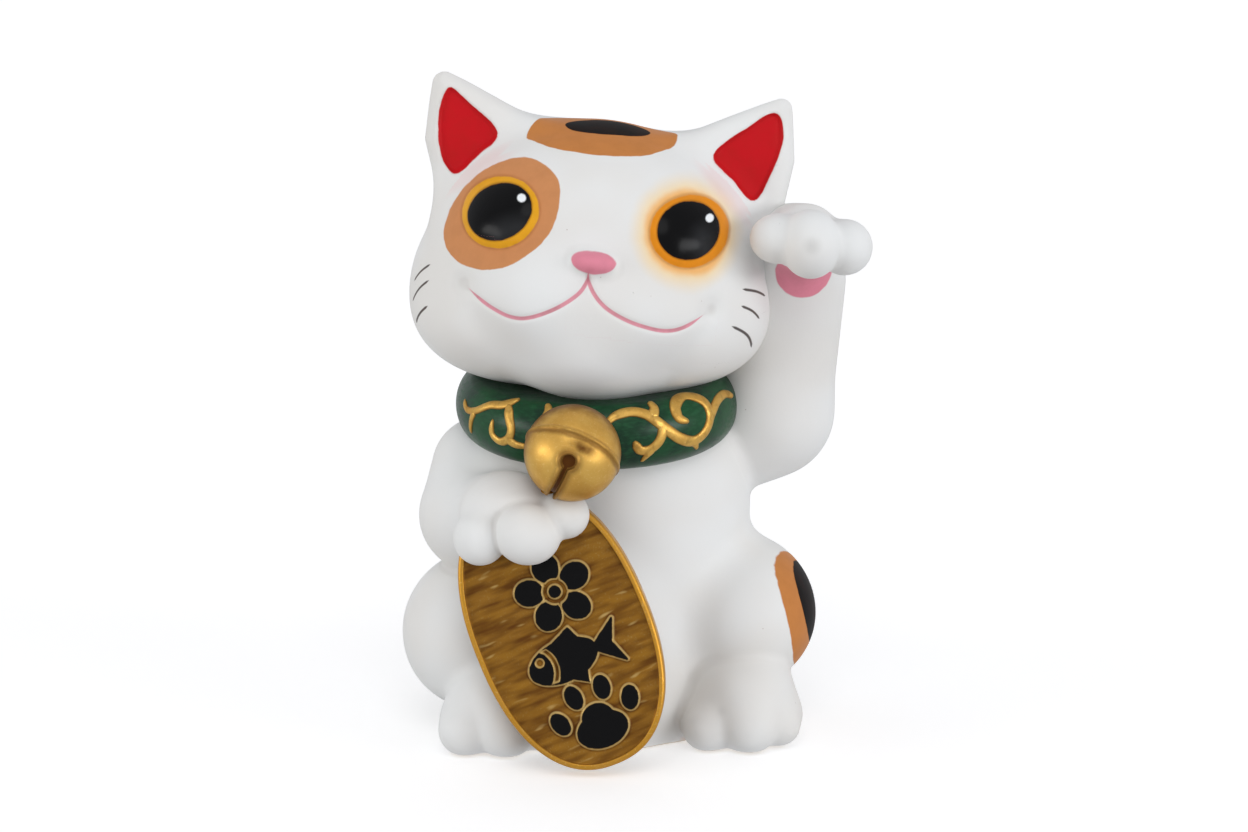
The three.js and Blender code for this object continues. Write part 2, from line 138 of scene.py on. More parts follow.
FOOT_TOES = [
    (0, (-8, -6, 7.5), (-9, -10, 6.5), 8, 7),
    (1.5, (1.5, -6, 8), (1.5, -12, 7), 8.2, 7.2),
    (1.5, (9.5, -3, 7), (9.5, -8, 6), 6.2, 5.4),
]
# How softly forms run into each other, in millimetres.
PAW_JOIN = 4.0  # toes to palm, and paw to lowered arm
FOOT_JOIN = 2.5  # hind paws to trunk
WRIST_JOIN = 5.0  # raised paw to raised arm
LIMB_JOIN = 3.0  # arms and tail to trunk
BASE_EDGE = 1.2
HOLLOW_EDGE = 3.0
VENT_EDGE = 0.7
HAND_WAVE = 0.09  # height of the unevenness that hand finishing leaves

COLLAR = {"at": (-10.5, 3, 86.3), "turn": (6, 0), "ring": 31, "half_width": 6.2, "half_height": 8.6,
          "inner_half_width": 20}
TRUNK_TOP = 90.5  # the trunk ends here, out of sight inside the collar
BELL = {"at": (-16.2, -43.8, 82.2), "turn": (-36, 24), "radius": 12.1, "ridge": 0.5, "ridge_inset": 0.15,
        "soft": 0.5, "opening_soft": 0.4, "edge": 0.35}
BELL_HOLE = {"towards": (-0.066, -0.80, -0.60), "radius": 1.9, "rim": 0.8, "floor": 10.9}
BELL_SMEAR = {"at": (1.2, -11.7, -3.1), "squeeze": (0.42, 1, 1)}
BELL_RIDGE_BAND = 0.9  # the brown band beside the ridge lies this far below it
BELL_SLOT = {"x": -0.8, "half_width": 0.72, "top": -7.2}
# A fullness of 2 makes a plain oval; more is squarer.
KOBAN = {"at": (-19, -43, 36.8), "turn": (-8, -22.5), "half_width": 22.5, "half_height": 36.6,
         "fullness": 2.3}
KOBAN_SECTION = {"half_thickness": 3.0, "rim": 1.55, "rim_soft": 0.2, "round_off": 0.9, "rounding": 1.1,
                 "recess": 0.9, "motif": 0.85, "motif_edge": (-0.45, 0.35)}

CAMERA = {"target": (-3.4, 0, 83), "elevation": 11.0, "distance": 775.0, "lens": 85.0, "sensor": 36.0}


def modelling_offset():
    """What moves the modelling axis to the row frame: the stopper's known place against its box."""
    low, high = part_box("base_stopper")
    middle = np.array((low + high) / 2) / MM
    return np.array((middle[0] - STOPPER_AT[0], middle[1] - STOPPER_AT[1], 0), np.float32)


OFFSET = modelling_offset()


def region(*nodes, margin=3.0):
    """The lowest and highest corners round some CAD nodes, in modelling millimetres."""
    boxes = [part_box(node) for node in nodes]
    low = np.min([box[0] for box in boxes], axis=0) / MM - OFFSET - margin
    high = np.max([box[1] for box in boxes], axis=0) / MM - OFFSET + margin
    return low, high


# ---------- Distance fields ----------


def length(vectors):
    return np.sqrt((vectors * vectors).sum(-1))


def turned(about_x, about_y):
    """A rotation matrix from degrees about X and then about Y."""
    y_turn = Matrix.Rotation(math.radians(about_y), 3, "Y")
    return np.array(y_turn @ Matrix.Rotation(math.radians(about_x), 3, "X"), np.float32)


def into(points, at, turn):
    """Points as seen from a frame that stands at a place and is turned."""
    return (points - np.array(at, np.float32)) @ turned(*turn)


def stretched_ball(scaled, size):
    """Distance outside a ball that is stretched by size, from points divided by that size."""
    reach = length(scaled)
    return reach * (reach - 1) / (length(scaled / size) + TINY)


def ellipsoid(at, radii, turn=(0, 0)):
    size = np.array(radii, np.float32)

    def field(points):
        return stretched_ball(into(points, at, turn) / size, size)

    return field


def round_cone(start, end, start_radius, end_radius):
    """Two balls and the cone that touches both."""
    start = np.array(start, np.float32)
    axis = np.array(end, np.float32) - start
    long2 = float(axis @ axis)
    taper = start_radius - end_radius
    slope2 = long2 - taper * taper

    def field(points):
        rel = points - start
        along = rel @ axis
        beyond = along - long2
        across2 = ((rel * long2 - along[..., None] * axis) ** 2).sum(-1)
        along2, beyond2 = along * along * long2, beyond * beyond * long2
        lean = np.sign(taper) * taper * taper * across2
        side = (np.sqrt(across2 * slope2 / long2) + along * taper) / long2 - start_radius
        at_end = np.sqrt(across2 + beyond2) / long2 - end_radius
        at_start = np.sqrt(across2 + along2) / long2 - start_radius
        side = np.where(np.sign(along) * slope2 * along2 < lean, at_start, side)
        return np.where(np.sign(beyond) * slope2 * beyond2 > lean, at_end, side)

    return field


def soft_min(a, b, softness):
    if softness <= 0:
        return np.minimum(a, b)
    share = np.maximum(softness - np.abs(a - b), 0) / softness
    return np.minimum(a, b) - share * share * softness / 4


def soft_max(a, b, softness):
    return -soft_min(-a, -b, softness)


def joined(softness, *fields):
    """Forms that run into each other."""

    def field(points):
        whole = fields[0](points)
        for other in fields[1:]:
            whole = soft_min(whole, other(points), softness)
        return whole

    return field


def masses(rows, shape, shift=(0, 0)):
    """A form from a table of masses, each joined to those before it with its own softness."""
    moved = np.array((*shift, 0), np.float32)
    parts = [(row[0], shape(*row[1:])) for row in rows]

    def field(points):
        local = points - moved
        whole = parts[0][1](local)
        for softness, part in parts[1:]:
            whole = soft_min(whole, part(local), softness)
        return whole

    return field


def levelled(form, top, softness=3.0):
    """A form cut off flat, with a softened edge."""

    def field(points):
        return soft_max(form(points), points[..., 2] - top, softness)

    return field


def upright(at, radius, low, high):
    """An upright cylinder between two heights."""

    def field(points):
        around = length(points[..., :2] - np.array(at, np.float32)) - radius
        return np.maximum(around, np.abs(points[..., 2] - (low + high) / 2) - (high - low) / 2)

    return field


# ---------- Flat outlines, for painted and raised marks ----------


def oval(u, v, centre, half_sizes, lean=0.0):
    """Distance outside an oval whose long way leans by degrees from the u axis."""
    c, s = math.cos(math.radians(lean)), math.sin(math.radians(lean))
    du, dv = u - centre[0], v - centre[1]
    across, up = (du * c + dv * s) / half_sizes[0], (dv * c - du * s) / half_sizes[1]
    reach = np.hypot(across, up)
    steep = np.hypot(across / half_sizes[0], up / half_sizes[1]) + TINY
    return reach * (reach - 1) / steep


def segment_gaps(u, v, start, end):
    """For each point and each segment: the squared gap, the share along it and the side."""
    along = end - start
    rel_u, rel_v = u[:, None] - start[:, 0], v[:, None] - start[:, 1]
    share = (rel_u * along[:, 0] + rel_v * along[:, 1]) / (along**2).sum(1)
    held = np.clip(share, 0, 1)
    gap2 = (rel_u - held * along[:, 0]) ** 2 + (rel_v - held * along[:, 1]) ** 2
    side = along[:, 0] * rel_v - along[:, 1] * rel_u
    return gap2, share, side


def polygon(u, v, corners, edge=0.0):
    """Distance outside a closed outline that is grown by edge."""
    start = np.array(corners, np.float32)
    end = np.roll(start, -1, axis=0)
    shape = np.shape(u)
    u, v = np.ravel(u), np.ravel(v)
    gap2, _, side = segment_gaps(u, v, start, end)
    rises = (start[:, 1] <= v[:, None]) & (end[:, 1] > v[:, None])
    falls = (start[:, 1] > v[:, None]) & (end[:, 1] <= v[:, None])
    winding = (rises & (side > 0)).sum(1) - (falls & (side < 0)).sum(1)
    gap = np.sqrt(gap2.min(1))
    return (np.where(winding != 0, -gap, gap) - edge).reshape(shape)


def smooth_line(points, steps=8, closed=False):
    """A Catmull-Rom curve through given points."""
    given = np.array(points, float)
    if closed:
        given = np.vstack((given[-1], given, given[0], given[1]))
    else:
        given = np.vstack((2 * given[0] - given[1], given, 2 * given[-1] - given[-2]))
    t = np.linspace(0, 1, steps, endpoint=False)[:, None]
    spans = []
    for a, b, c, d in zip(given, given[1:], given[2:], given[3:]):
        bend = (2 * a - 5 * b + 4 * c - d) * t**2 + (3 * b - a - 3 * c + d) * t**3
        spans.append(b + ((c - a) * t + bend) / 2)
    curve = np.vstack(spans)
    return curve if closed else np.vstack((curve, given[-2]))


def stroke(u, v, points, reach=4.0):
    """A brush stroke: each point's signed distance across it and its share of the way along."""
    line = smooth_line(points)
    start, end = line[:-1], line[1:]
    run = np.concatenate(([0], np.cumsum(length(end - start))))
    low, high = line.min(0) - reach, line.max(0) + reach
    near = (u > low[0]) & (u < high[0]) & (v > low[1]) & (v < high[1])
    across, along = np.full(u.shape, FAR), np.full(u.shape, -1.0)
    if near.any():
        gap2, share, side = segment_gaps(u[near], v[near], start, end)
        best, rows = gap2.argmin(1), np.arange(len(gap2))
        loose = share[rows, best]
        inner = np.clip(loose, 0, 1)
        held = np.where((best == 0) & (loose < 0), loose, inner)
        held = np.where((best == len(start) - 1) & (loose > 1), loose, held)
        across[near] = np.sqrt(gap2[rows, best]) * np.sign(side[rows, best])
        along[near] = (run[best] + held * (run[best + 1] - run[best])) / run[-1]
    return across, along


# ---------- Meshing ----------

BLOCK = 6  # cells along each side of a block, the unit in which space is searched
BLOCK_REACH = 1.3  # a surface this many block sides from a block's middle can't pass through it
BLOCKS_AT_ONCE = 1500  # keeps memory low


def sampled(field, low, high, cell):
    """Distances on a regular grid. Blocks far from the surface hold their middle's distance."""
    blocks = np.ceil((high - low) / (cell * BLOCK)).astype(int)
    index = np.indices(blocks).reshape(3, -1).T
    middle = field((low + (index * BLOCK + (BLOCK - 1) / 2) * cell).astype(np.float32))
    i, j, k = index[np.abs(middle) < cell * BLOCK * BLOCK_REACH].T
    values = np.empty((blocks[0], BLOCK, blocks[1], BLOCK, blocks[2], BLOCK), np.float32)
    values[:] = middle.reshape(*blocks)[:, None, :, None, :, None]
    inside = np.indices((BLOCK,) * 3).transpose(1, 2, 3, 0)
    for part in np.array_split(np.arange(len(i)), max(1, len(i) // BLOCKS_AT_ONCE)):
        corner = np.stack((i[part], j[part], k[part]), 1)[:, None, None, None] * BLOCK
        found = field((low + (corner + inside) * cell).astype(np.float32))
        values[i[part], :, j[part], :, k[part], :] = found
    return values.reshape(blocks * BLOCK)


CORNERS = np.array([(x, y, z) for x in (0, 1) for y in (0, 1) for z in (0, 1)])
CELL_EDGES = [(a, b) for a in CORNERS for b in CORNERS if (b - a).min() >= 0 and (b - a).sum() == 1]


def surface_net(values, low, cell):
    """A quad mesh over the zero level of a grid: one vertex in each cell that the level crosses."""
    inside = values < 0
    size = np.array(values.shape) - 1
    full = np.zeros(size, np.int8)
    for x, y, z in CORNERS:
        full += inside[x : x + size[0], y : y + size[1], z : z + size[2]]
    cells = np.argwhere((full > 0) & (full < 8))
    number = np.full(size, -1)
    number[tuple(cells.T)] = np.arange(len(cells))
    total, hits = np.zeros((len(cells), 3)), np.zeros(len(cells))
    for start, end in CELL_EDGES:
        a, b = values[tuple((cells + start).T)], values[tuple((cells + end).T)]
        crossed = (a < 0) != (b < 0)
        share = np.where(crossed, a / np.where(crossed, a - b, 1), 0)
        total += crossed[:, None] * (start + share[:, None] * (end - start))
        hits += crossed
    points = low + (cells + total / hits[:, None]) * cell
    return points.astype(np.float32), net_faces(inside, number)


def net_faces(inside, number):
    """One quad round each grid line that passes through the surface."""
    quads = []
    for axis in range(3):
        u, v = np.eye(3, dtype=int)[(axis + 1) % 3], np.eye(3, dtype=int)[(axis + 2) % 3]
        ahead = np.diff(inside.astype(np.int8), axis=axis)
        at = np.argwhere(ahead != 0)
        at = at[(at[:, (axis + 1) % 3] > 0) & (at[:, (axis + 2) % 3] > 0)]
        at = at[(at < number.shape).all(1)]
        outwards = ahead[tuple(at.T)] < 0
        quad = np.stack([number[tuple((at - step).T)] for step in (u + v, v, 0 * u, u)], 1)
        quads.append(np.where(outwards[:, None], quad, quad[:, ::-1]))
    return np.vstack(quads)


PROBES = np.array([(1, 1, 1), (1, -1, -1), (-1, 1, -1), (-1, -1, 1)], np.float32)


def slope(field, points, reach=0.15):
    """The field's gradient at each point, from four probes round it."""
    total = np.zeros_like(points)
    for probe in PROBES:
        total += probe * field(points + probe * reach)[:, None]
    return total / (4 * reach)


def unit_slope(field, points):
    normal = slope(field, points)
    return normal / (length(normal)[:, None] + TINY)


def hollowness(field, points, reach=0.9):
    """How far the surface is creased inwards at each point, in 1/mm: zero where it bulges."""
    around = sum(field(points + probe * reach) for probe in PROBES)
    return np.maximum(0, (4 * field(points) - around) / (2 * reach**2))


def onto(field, points, least_steepness=0.05):
    """Points moved along the gradient to the surface."""
    normal = slope(field, points)
    steepness = np.maximum((normal**2).sum(1), least_steepness)
    return points - normal * (field(points) / steepness)[:, None]


def pulled(points, a, b, count):
    """The mean place of each vertex's neighbours, from edges a to b."""
    sums = [
        np.bincount(a, points[b, k], len(points)) + np.bincount(b, points[a, k], len(points))
        for k in range(3)
    ]
    return np.stack(sums, 1) / count[:, None]


def evened(field, points, quads, rounds=3):
    """The same mesh with its vertices spread evenly and set exactly on the surface."""
    a = quads.ravel()
    b = np.roll(quads, -1, axis=1).ravel()
    count = np.bincount(a, minlength=len(points)) + np.bincount(b, minlength=len(points))
    for _ in range(rounds):
        step = (pulled(points, a, b, count) - points) / 2
        normal = unit_slope(field, points)
        points = points + step - normal * (step * normal).sum(1)[:, None]
        points = onto(field, points.astype(np.float32))
    return onto(field, points)


def triangles(points, quads):
    """Quads split along their shorter diagonal."""
    a, b, c, d = quads.T
    short = length(points[a] - points[c]) < length(points[b] - points[d])
    first = np.where(short[:, None], quads[:, [0, 1, 2]], quads[:, [0, 1, 3]])
    second = np.where(short[:, None], quads[:, [0, 2, 3]], quads[:, [1, 2, 3]])
    return np.vstack((first, second))


def skin(field, low, high, cell):
    """A triangle mesh over a field."""
    points, quads = surface_net(sampled(field, low, high, cell), low, cell)
    points = evened(field, points, quads)
    return points, triangles(points, quads)


def wall_faces(a, b, ahead):
    """Two triangles from each pair of vertices a, b to the pair that is so many numbers ahead."""
    return np.vstack((np.stack((a, b, b + ahead), 1), np.stack((a, b + ahead, a + ahead), 1)))


def ring_faces(rings, sides, start=0):
    """The faces between neighbouring rings of vertices, each of so many sides."""
    ring, side = np.meshgrid(np.arange(rings - 1), np.arange(sides), indexing="ij")
    a = (start + ring * sides + side).ravel()
    b = (start + ring * sides + (side + 1) % sides).ravel()
    return wall_faces(a, b, sides)


def fan_faces(rim, hub):
    """Triangles from each vertex of a closed rim to the hub."""
    return np.stack((np.roll(rim, -1), rim, np.full(len(rim), hub)), 1)


# ---------- Cutting one skin into its sub-parts ----------


def cut_along(points, faces, values):
    """The mesh with every face split where values change sign, and the values it then has."""
    side = values < 0
    mixed = (side[faces].sum(1) % 3) != 0
    whole, crossed = faces[~mixed], faces[mixed]
    inside = side[crossed]
    odd = np.where(inside.sum(1) == 1, inside.argmax(1), inside.argmin(1))
    rows = np.arange(len(crossed))
    a, b, c = (crossed[rows, (odd + k) % 3] for k in range(3))
    ends = np.vstack((np.sort(np.stack((a, b), 1)), np.sort(np.stack((a, c), 1))))
    edges, place = np.unique(ends, axis=0, return_inverse=True)
    place = place.ravel()
    low, high = values[edges[:, 0]], values[edges[:, 1]]
    share = (low / (low - high))[:, None]
    new_points = points[edges[:, 0]] * (1 - share) + points[edges[:, 1]] * share
    p, q = len(points) + place[: len(a)], len(points) + place[len(a) :]
    parts = [np.stack(tri, 1) for tri in ((a, p, q), (p, b, c), (p, c, q))]
    return (
        np.vstack((points, new_points)).astype(np.float32),
        np.vstack((whole, *parts)),
        np.concatenate((values, np.zeros(len(edges)))),
    )


def open_loops(faces):
    """The closed lines along which a mesh is open, each as vertex numbers in order."""
    edges = np.vstack((faces[:, [0, 1]], faces[:, [1, 2]], faces[:, [2, 0]]))
    size = int(faces.max()) + 1
    keys = edges[:, 0].astype(np.int64) * size + edges[:, 1]
    lone = ~np.isin(edges[:, 1].astype(np.int64) * size + edges[:, 0], keys)
    following = {int(a): int(b) for a, b in edges[lone]}
    loops = []
    while following:
        first, at = following.popitem()
        loop = [first]
        while at != first and at in following:
            loop.append(at)
            at = following.pop(at)
        loops.append(loop)
    return loops


def capped(points, faces, trunk, depth=1.5, rounds=6):
    """The mesh with each open loop closed by a fan, whose middle lies just inside the trunk."""
    for loop in open_loops(faces):
        middle = points[loop].mean(0, keepdims=True)
        for _ in range(rounds):
            if trunk(middle)[0] < 0:
                middle = middle - slope(trunk, middle) * (trunk(middle) + depth)[:, None]
        faces = np.vstack((faces, fan_faces(loop, len(points))))
        points = np.vstack((points, middle))
    return points, faces


def compact(points, faces):
    """Only the vertices that the faces use."""
    used, numbers = np.unique(faces, return_inverse=True)
    return points[used], numbers.reshape(faces.shape)


SEAM_DEPTH = 1.5  # a piece owns the skin only where it is this near the outer surface
SEAM_SNAP = 0.02  # vertices nearer the seam than this are kept off it, so no sliver is cut


def shared_out(points, faces, owners, outer):
    """Splits one mesh between named forms. Each face goes to the form whose surface it is on."""
    names = list(owners)
    pieces = {}
    for name in names[1:]:
        depths = np.stack([owners[n](points) for n in names])
        mine = depths[names.index(name)]
        others = np.delete(depths, names.index(name), axis=0).min(0)
        values = np.maximum(mine - others, -SEAM_DEPTH - outer(points))
        values = np.where(np.abs(values) < SEAM_SNAP, SEAM_SNAP, values)
        points, faces, values = cut_along(points, faces, values)
        is_mine = values[faces].min(1) < 0
        pieces[name] = faces[is_mine]
        faces = faces[~is_mine]
    pieces[names[0]] = faces
    return {name: compact(points, part) for name, part in pieces.items()}


# ---------- Blender objects ----------


def added(name, data):
    """A new object in the scene."""
    thing = bpy.data.objects.new(name, data)
    bpy.context.scene.collection.objects.link(thing)
    return thing


def new_piece(name, points, faces, normals=None, marks=None):
    """A smooth mesh object in the row frame. marks are numbers that its vertices carry."""
    mesh = bpy.data.meshes.new(name)
    sides = faces.shape[1]
    mesh.vertices.add(len(points))
    mesh.vertices.foreach_set("co", ((points + OFFSET) * MM).astype(np.float32).ravel())
    mesh.loops.add(faces.size)
    mesh.loops.foreach_set("vertex_index", faces.astype(np.int32).ravel())
    mesh.polygons.add(len(faces))
    mesh.polygons.foreach_set("loop_start", np.arange(0, faces.size, sides, dtype=np.int32))
    mesh.update(calc_edges=True)
    mesh.validate()
    mesh.shade_smooth()
    for mark, values in (marks or {}).items():
        kind, slot = ("FLOAT2", "vector") if values.ndim == 2 else ("FLOAT", "value")
        attribute = mesh.attributes.new(mark, kind, "POINT")
        attribute.data.foreach_set(slot, values.astype(np.float32).ravel())
    if normals is not None:
        mesh.normals_split_custom_set_from_vertices(normals.astype(float).tolist())
    return added(name, mesh)


def dress(piece, material, nodes, body="figurine"):
    """Gives a piece its material, hides the CAD nodes it stands for and sets what it rides on."""
    piece.data.materials.append(material)
    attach(piece, body)
    if nodes:
        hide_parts(*nodes)


# ---------- Shader graphs ----------


def srgb(red, green, blue):
    """A colour given as on a paint chart, from 0 to 255, in the renderer's own light units."""
    shares = [value / 255 for value in (red, green, blue)]
    return (*[s / 12.92 if s < 0.04045 else ((s + 0.055) / 1.055) ** 2.4 for s in shares], 1.0)


class Graph:
    """A material's node tree, with one short call for each kind of node."""

    def __init__(self, name, **constants):
        self.material = bpy.data.materials.new(name)
        self.material.use_nodes = True
        self.tree = self.material.node_tree
        self.tree.nodes.clear()
        self.shader = self.node("BsdfPrincipled")
        self.output = self.node("OutputMaterial", {0: self.shader.outputs[0]}).inputs[0]
        self.place = self.node("TexCoord").outputs["Object"]
        self.set_shader(constants)

    def put(self, socket, value):
        """Links a socket to another, or gives it a value."""
        if isinstance(value, bpy.types.NodeSocket):
            self.tree.links.new(value, socket)
        else:
            socket.default_value = value

    def node(self, kind, inputs=None, **settings):
        """A new node. inputs gives sockets, by name or number, a value or something to link to."""
        node = self.tree.nodes.new(f"ShaderNode{kind}")
        for setting, value in settings.items():
            setattr(node, setting, value)
        for socket, value in (inputs or {}).items():
            self.put(node.inputs[socket], value)
        return node

    def set_shader(self, sockets):
        for name, value in sockets.items():
            self.put(self.shader.inputs[name.replace("_", " ")], value)

    def finish(self, **sockets):
        self.set_shader(sockets)
        return self.material

    def math(self, operation, a, b=0.0, c=0.0, clamp=False):
        inputs = {0: a, 1: b, 2: c}
        return self.node("Math", inputs, operation=operation, use_clamp=clamp).outputs[0]

    def times(self, a, b):
        return self.math("MULTIPLY", a, b)

    def mix(self, share, low, high):
        """One colour laid over another."""
        return self.node("Mix", {0: share, 6: low, 7: high}, data_type="RGBA").outputs[2]

    def blend(self, share, low, high):
        """A number between two others."""
        return self.node("Mix", {0: share, 2: low, 3: high}).outputs[0]

    def ramp(self, value, low, high):
        """0 below low and 1 above high, with a smooth step between."""
        inputs = {0: value, 1: low, 2: high, 3: 0.0, 4: 1.0}
        return self.node("MapRange", inputs, interpolation_type="SMOOTHSTEP").outputs[0]

    def mark(self, name, output="Fac"):
        """A number that the vertices carry, or a pair of them from the output "Vector"."""
        return self.node("Attribute", attribute_name=name).outputs[output]

    def mark_pair(self, name):
        split = self.node("SeparateXYZ", {0: self.mark(name, "Vector")})
        return split.outputs[0], split.outputs[1]

    def noise(self, size_mm, detail=3.0, roughness=0.5, stretch=(1, 1, 1), place=None):
        """Smooth noise from 0 to 1 whose features are about this many millimetres across."""
        scale = [share / (size_mm * MM) for share in stretch]
        scaled = self.node("Mapping", {"Vector": place or self.place, "Scale": scale})
        inputs = {"Vector": scaled.outputs[0], "Scale": 1.0, "Detail": detail, "Roughness": roughness}
        return self.node("TexNoise", inputs).outputs[0]

    def specks(self, spacing_mm, radius_mm, share):
        """1 on a few round specks, of which this share of the evenly spread seeds grows one."""
        seeds = self.node("TexVoronoi", {"Vector": self.place, "Scale": 1 / (spacing_mm * MM)})
        lot = self.node("SeparateColor", {0: seeds.outputs["Color"]}).outputs[0]
        edge = radius_mm / spacing_mm
        near = self.ramp(seeds.outputs["Distance"], edge, edge / 2)
        return self.times(self.math("LESS_THAN", lot, share), near)

    def bump(self, height_mm):
        """A surface normal from a height in millimetres."""
        return self.node("Bump", {"Strength": 1.0, "Distance": MM, "Height": height_mm}).outputs[0]


WHITE = srgb(230, 231, 230)
WARM_WHITE = srgb(225, 223, 219)
# The grey of the painted shade in creases.
CREASE_GREY = srgb(196, 192, 187)
BISCUIT = srgb(216, 204, 186)
PATCH_BROWN = srgb(204, 140, 92)
SPOT_BROWN = srgb(196, 128, 70)
AMBER = srgb(228, 164, 38)
ORANGE = srgb(228, 142, 32)
GLOW_YELLOW = srgb(250, 208, 118)
GLOW_ORANGE = srgb(236, 158, 48)
BRUSH_SHADE = srgb(96, 52, 22)
PAINT_BLACK = srgb(14, 14, 15)
EAR_RED = srgb(196, 24, 32)
NOSE_PINK = srgb(224, 138, 156)
MOUTH_PINK = srgb(226, 142, 158)
WHISKER_GREY = srgb(58, 50, 48)
COLLAR_GREEN = srgb(16, 68, 36)
GOLD = srgb(222, 178, 92)
GOLD_BROWN = srgb(120, 74, 30)
GOLD_OLD = srgb(196, 146, 66)
GOLD_PALE = srgb(242, 212, 138)
GOLD_DEEP = srgb(206, 150, 54)
KOBAN_BROWN = srgb(98, 60, 20)
BELL_BROWN = srgb(98, 58, 20)
COLLAR_DEEP = srgb(8, 42, 26)
COLLAR_PALE = srgb(34, 94, 56)
SMUDGE_GREY = srgb(120, 116, 112)
BLUSH_PINK = srgb(240, 150, 150)
HALO_BROWN = srgb(160, 86, 24)
PUPIL_BROWN = srgb(120, 66, 14)
# The colour of the painted reflection on the pupils.
SHEEN_GREY = srgb(120, 122, 126)
GLINT_WHITE = srgb(236, 240, 242)
RUBBER_BLACK = srgb(34, 34, 36)
RUBBER_GREY = srgb(58, 57, 56)


class Glaze(Graph):
    """White glaze on which brush-painted marks are laid one after another."""

    def __init__(self, name):
        super().__init__(name, Specular_IOR_Level=0.06, Coat_Roughness=0.2)
        cloudy = self.ramp(self.noise(38, detail=2), 0.35, 0.7)
        self.colour = self.mix(cloudy, WHITE, WARM_WHITE)
        # Painted shade: grey laid into the creases, the more the tighter they are.
        crease_shade = self.ramp(self.mark("crease"), 0.12, 0.55)
        self.colour = self.mix(self.times(crease_shade, 0.4), self.colour, CREASE_GREY)
        dust = self.specks(spacing_mm=4.2, radius_mm=0.22, share=0.16)
        self.colour = self.mix(self.times(dust, 0.35), self.colour, GOLD_BROWN)
        self.gloss = self.blend(self.noise(16), 0.36, 0.5)
        self.coat = 0.0
        pores = self.times(self.specks(spacing_mm=9.0, radius_mm=0.32, share=0.22), -0.12)
        skin_waves = self.times(self.noise(2.6, roughness=0.55), 0.035)
        self.height = self.math("ADD", pores, skin_waves)
        self.wobble = self.math("MULTIPLY_ADD", self.noise(3.0, detail=2), 0.5, -0.25)

    def lay(self, share, colour, roughness=0.42, thickness=0.03, mottle=0.1):
        """One coat of paint: its colour with brush mottling, its sheen and its raised edge."""
        brush = self.times(self.ramp(self.noise(5.0, detail=4, roughness=0.6), 0.3, 0.75), mottle)
        shaded = self.mix(brush, colour, BRUSH_SHADE)
        self.colour = self.mix(share, self.colour, shaded)
        self.gloss = self.blend(share, self.gloss, roughness)
        self.height = self.math("MULTIPLY_ADD", share, thickness, self.height)

    def paint(self, mark, colour, soft=0.16, **coat):
        """A painted shape with a slightly unsteady edge. Returns 1 inside it."""
        inside = self.ramp(self.math("ADD", self.mark(mark), self.wobble), soft, -soft)
        self.lay(inside, colour, **coat)
        return inside

    def stain(self, distance, colour, far, near, strength, **coat):
        """Thin colour that grows from nothing at far to its strength at near."""
        self.lay(self.times(self.ramp(distance, far, near), strength), colour, thickness=0.0, **coat)

    def brush_line(self, mark, colour, half_width, strength):
        """A painted line that thins towards both ends."""
        across, along = self.mark_pair(mark)
        ends = self.times(self.ramp(along, -0.02, 0.12), self.ramp(along, 1.02, 0.86))
        distance = self.math("SUBTRACT", self.math("ABSOLUTE", across), self.times(ends, half_width))
        line = self.times(self.ramp(distance, 0.12, -0.16), self.ramp(ends, 0.02, 0.2))
        self.lay(self.times(line, strength), colour, roughness=0.45, thickness=0.0, mottle=0.3)

    def done(self):
        return self.finish(
            Base_Color=self.colour,
            Roughness=self.gloss,
            Coat_Weight=self.coat,
            Normal=self.bump(self.height),
        )


def paint_eyes(g):
    """Amber irises with a darker halo, and glossy pupils with a painted sheen and a glint."""
    g.stain(g.mark("iris"), HALO_BROWN, far=0.9, near=0.1, strength=0.35, roughness=0.4)
    iris = g.mix(g.ramp(g.mark("glow"), 8.0, 2.0), AMBER, ORANGE)
    g.paint("iris", iris, soft=0.2, roughness=0.32)
    g.stain(g.mark("pupil"), PUPIL_BROWN, far=0.55, near=0.0, strength=0.6, roughness=0.32)
    pupil = g.paint("pupil", PAINT_BLACK, soft=0.14, roughness=0.22, thickness=0.05, mottle=0.0)
    # A painted reflection: pale grey laid on the black pupil as a sheen.
    sheen = g.times(g.ramp(g.mark("pupil_sheen"), 3.4, -2.5), 0.1)
    g.lay(g.times(pupil, sheen), SHEEN_GREY, roughness=0.22, thickness=0.0, mottle=0.0)
    g.lay(g.ramp(g.mark("glint"), 0.2, -0.25), GLINT_WHITE, roughness=0.3, thickness=0.0, mottle=0.0)
    g.coat = g.times(pupil, 0.05)


def head_material():
    g = Glaze("head_glaze")
    glow = g.math("ADD", g.mark("glow"), g.times(g.noise(7), 1.5))
    g.stain(glow, GLOW_YELLOW, far=6.2, near=0.2, strength=0.62, mottle=0.05)
    g.stain(glow, GLOW_ORANGE, far=2.4, near=0.2, strength=0.6, mottle=0.05)
    g.stain(g.mark("ear_blush"), BLUSH_PINK, far=2.4, near=0.2, strength=0.16)
    g.paint("patch", PATCH_BROWN)
    g.paint("top_brown", SPOT_BROWN)
    g.paint("top_black", PAINT_BLACK, roughness=0.55)
    g.paint("ear_red", EAR_RED, roughness=0.4)
    paint_eyes(g)
    g.paint("nose", NOSE_PINK, soft=0.2, roughness=0.4)
    for mark in MOUTH:
        g.brush_line(mark, MOUTH_PINK, half_width=0.52, strength=0.9)
    for mark, _, _ in WHISKERS:
        g.brush_line(mark, WHISKER_GREY, half_width=0.36, strength=0.92)
    return g.done()


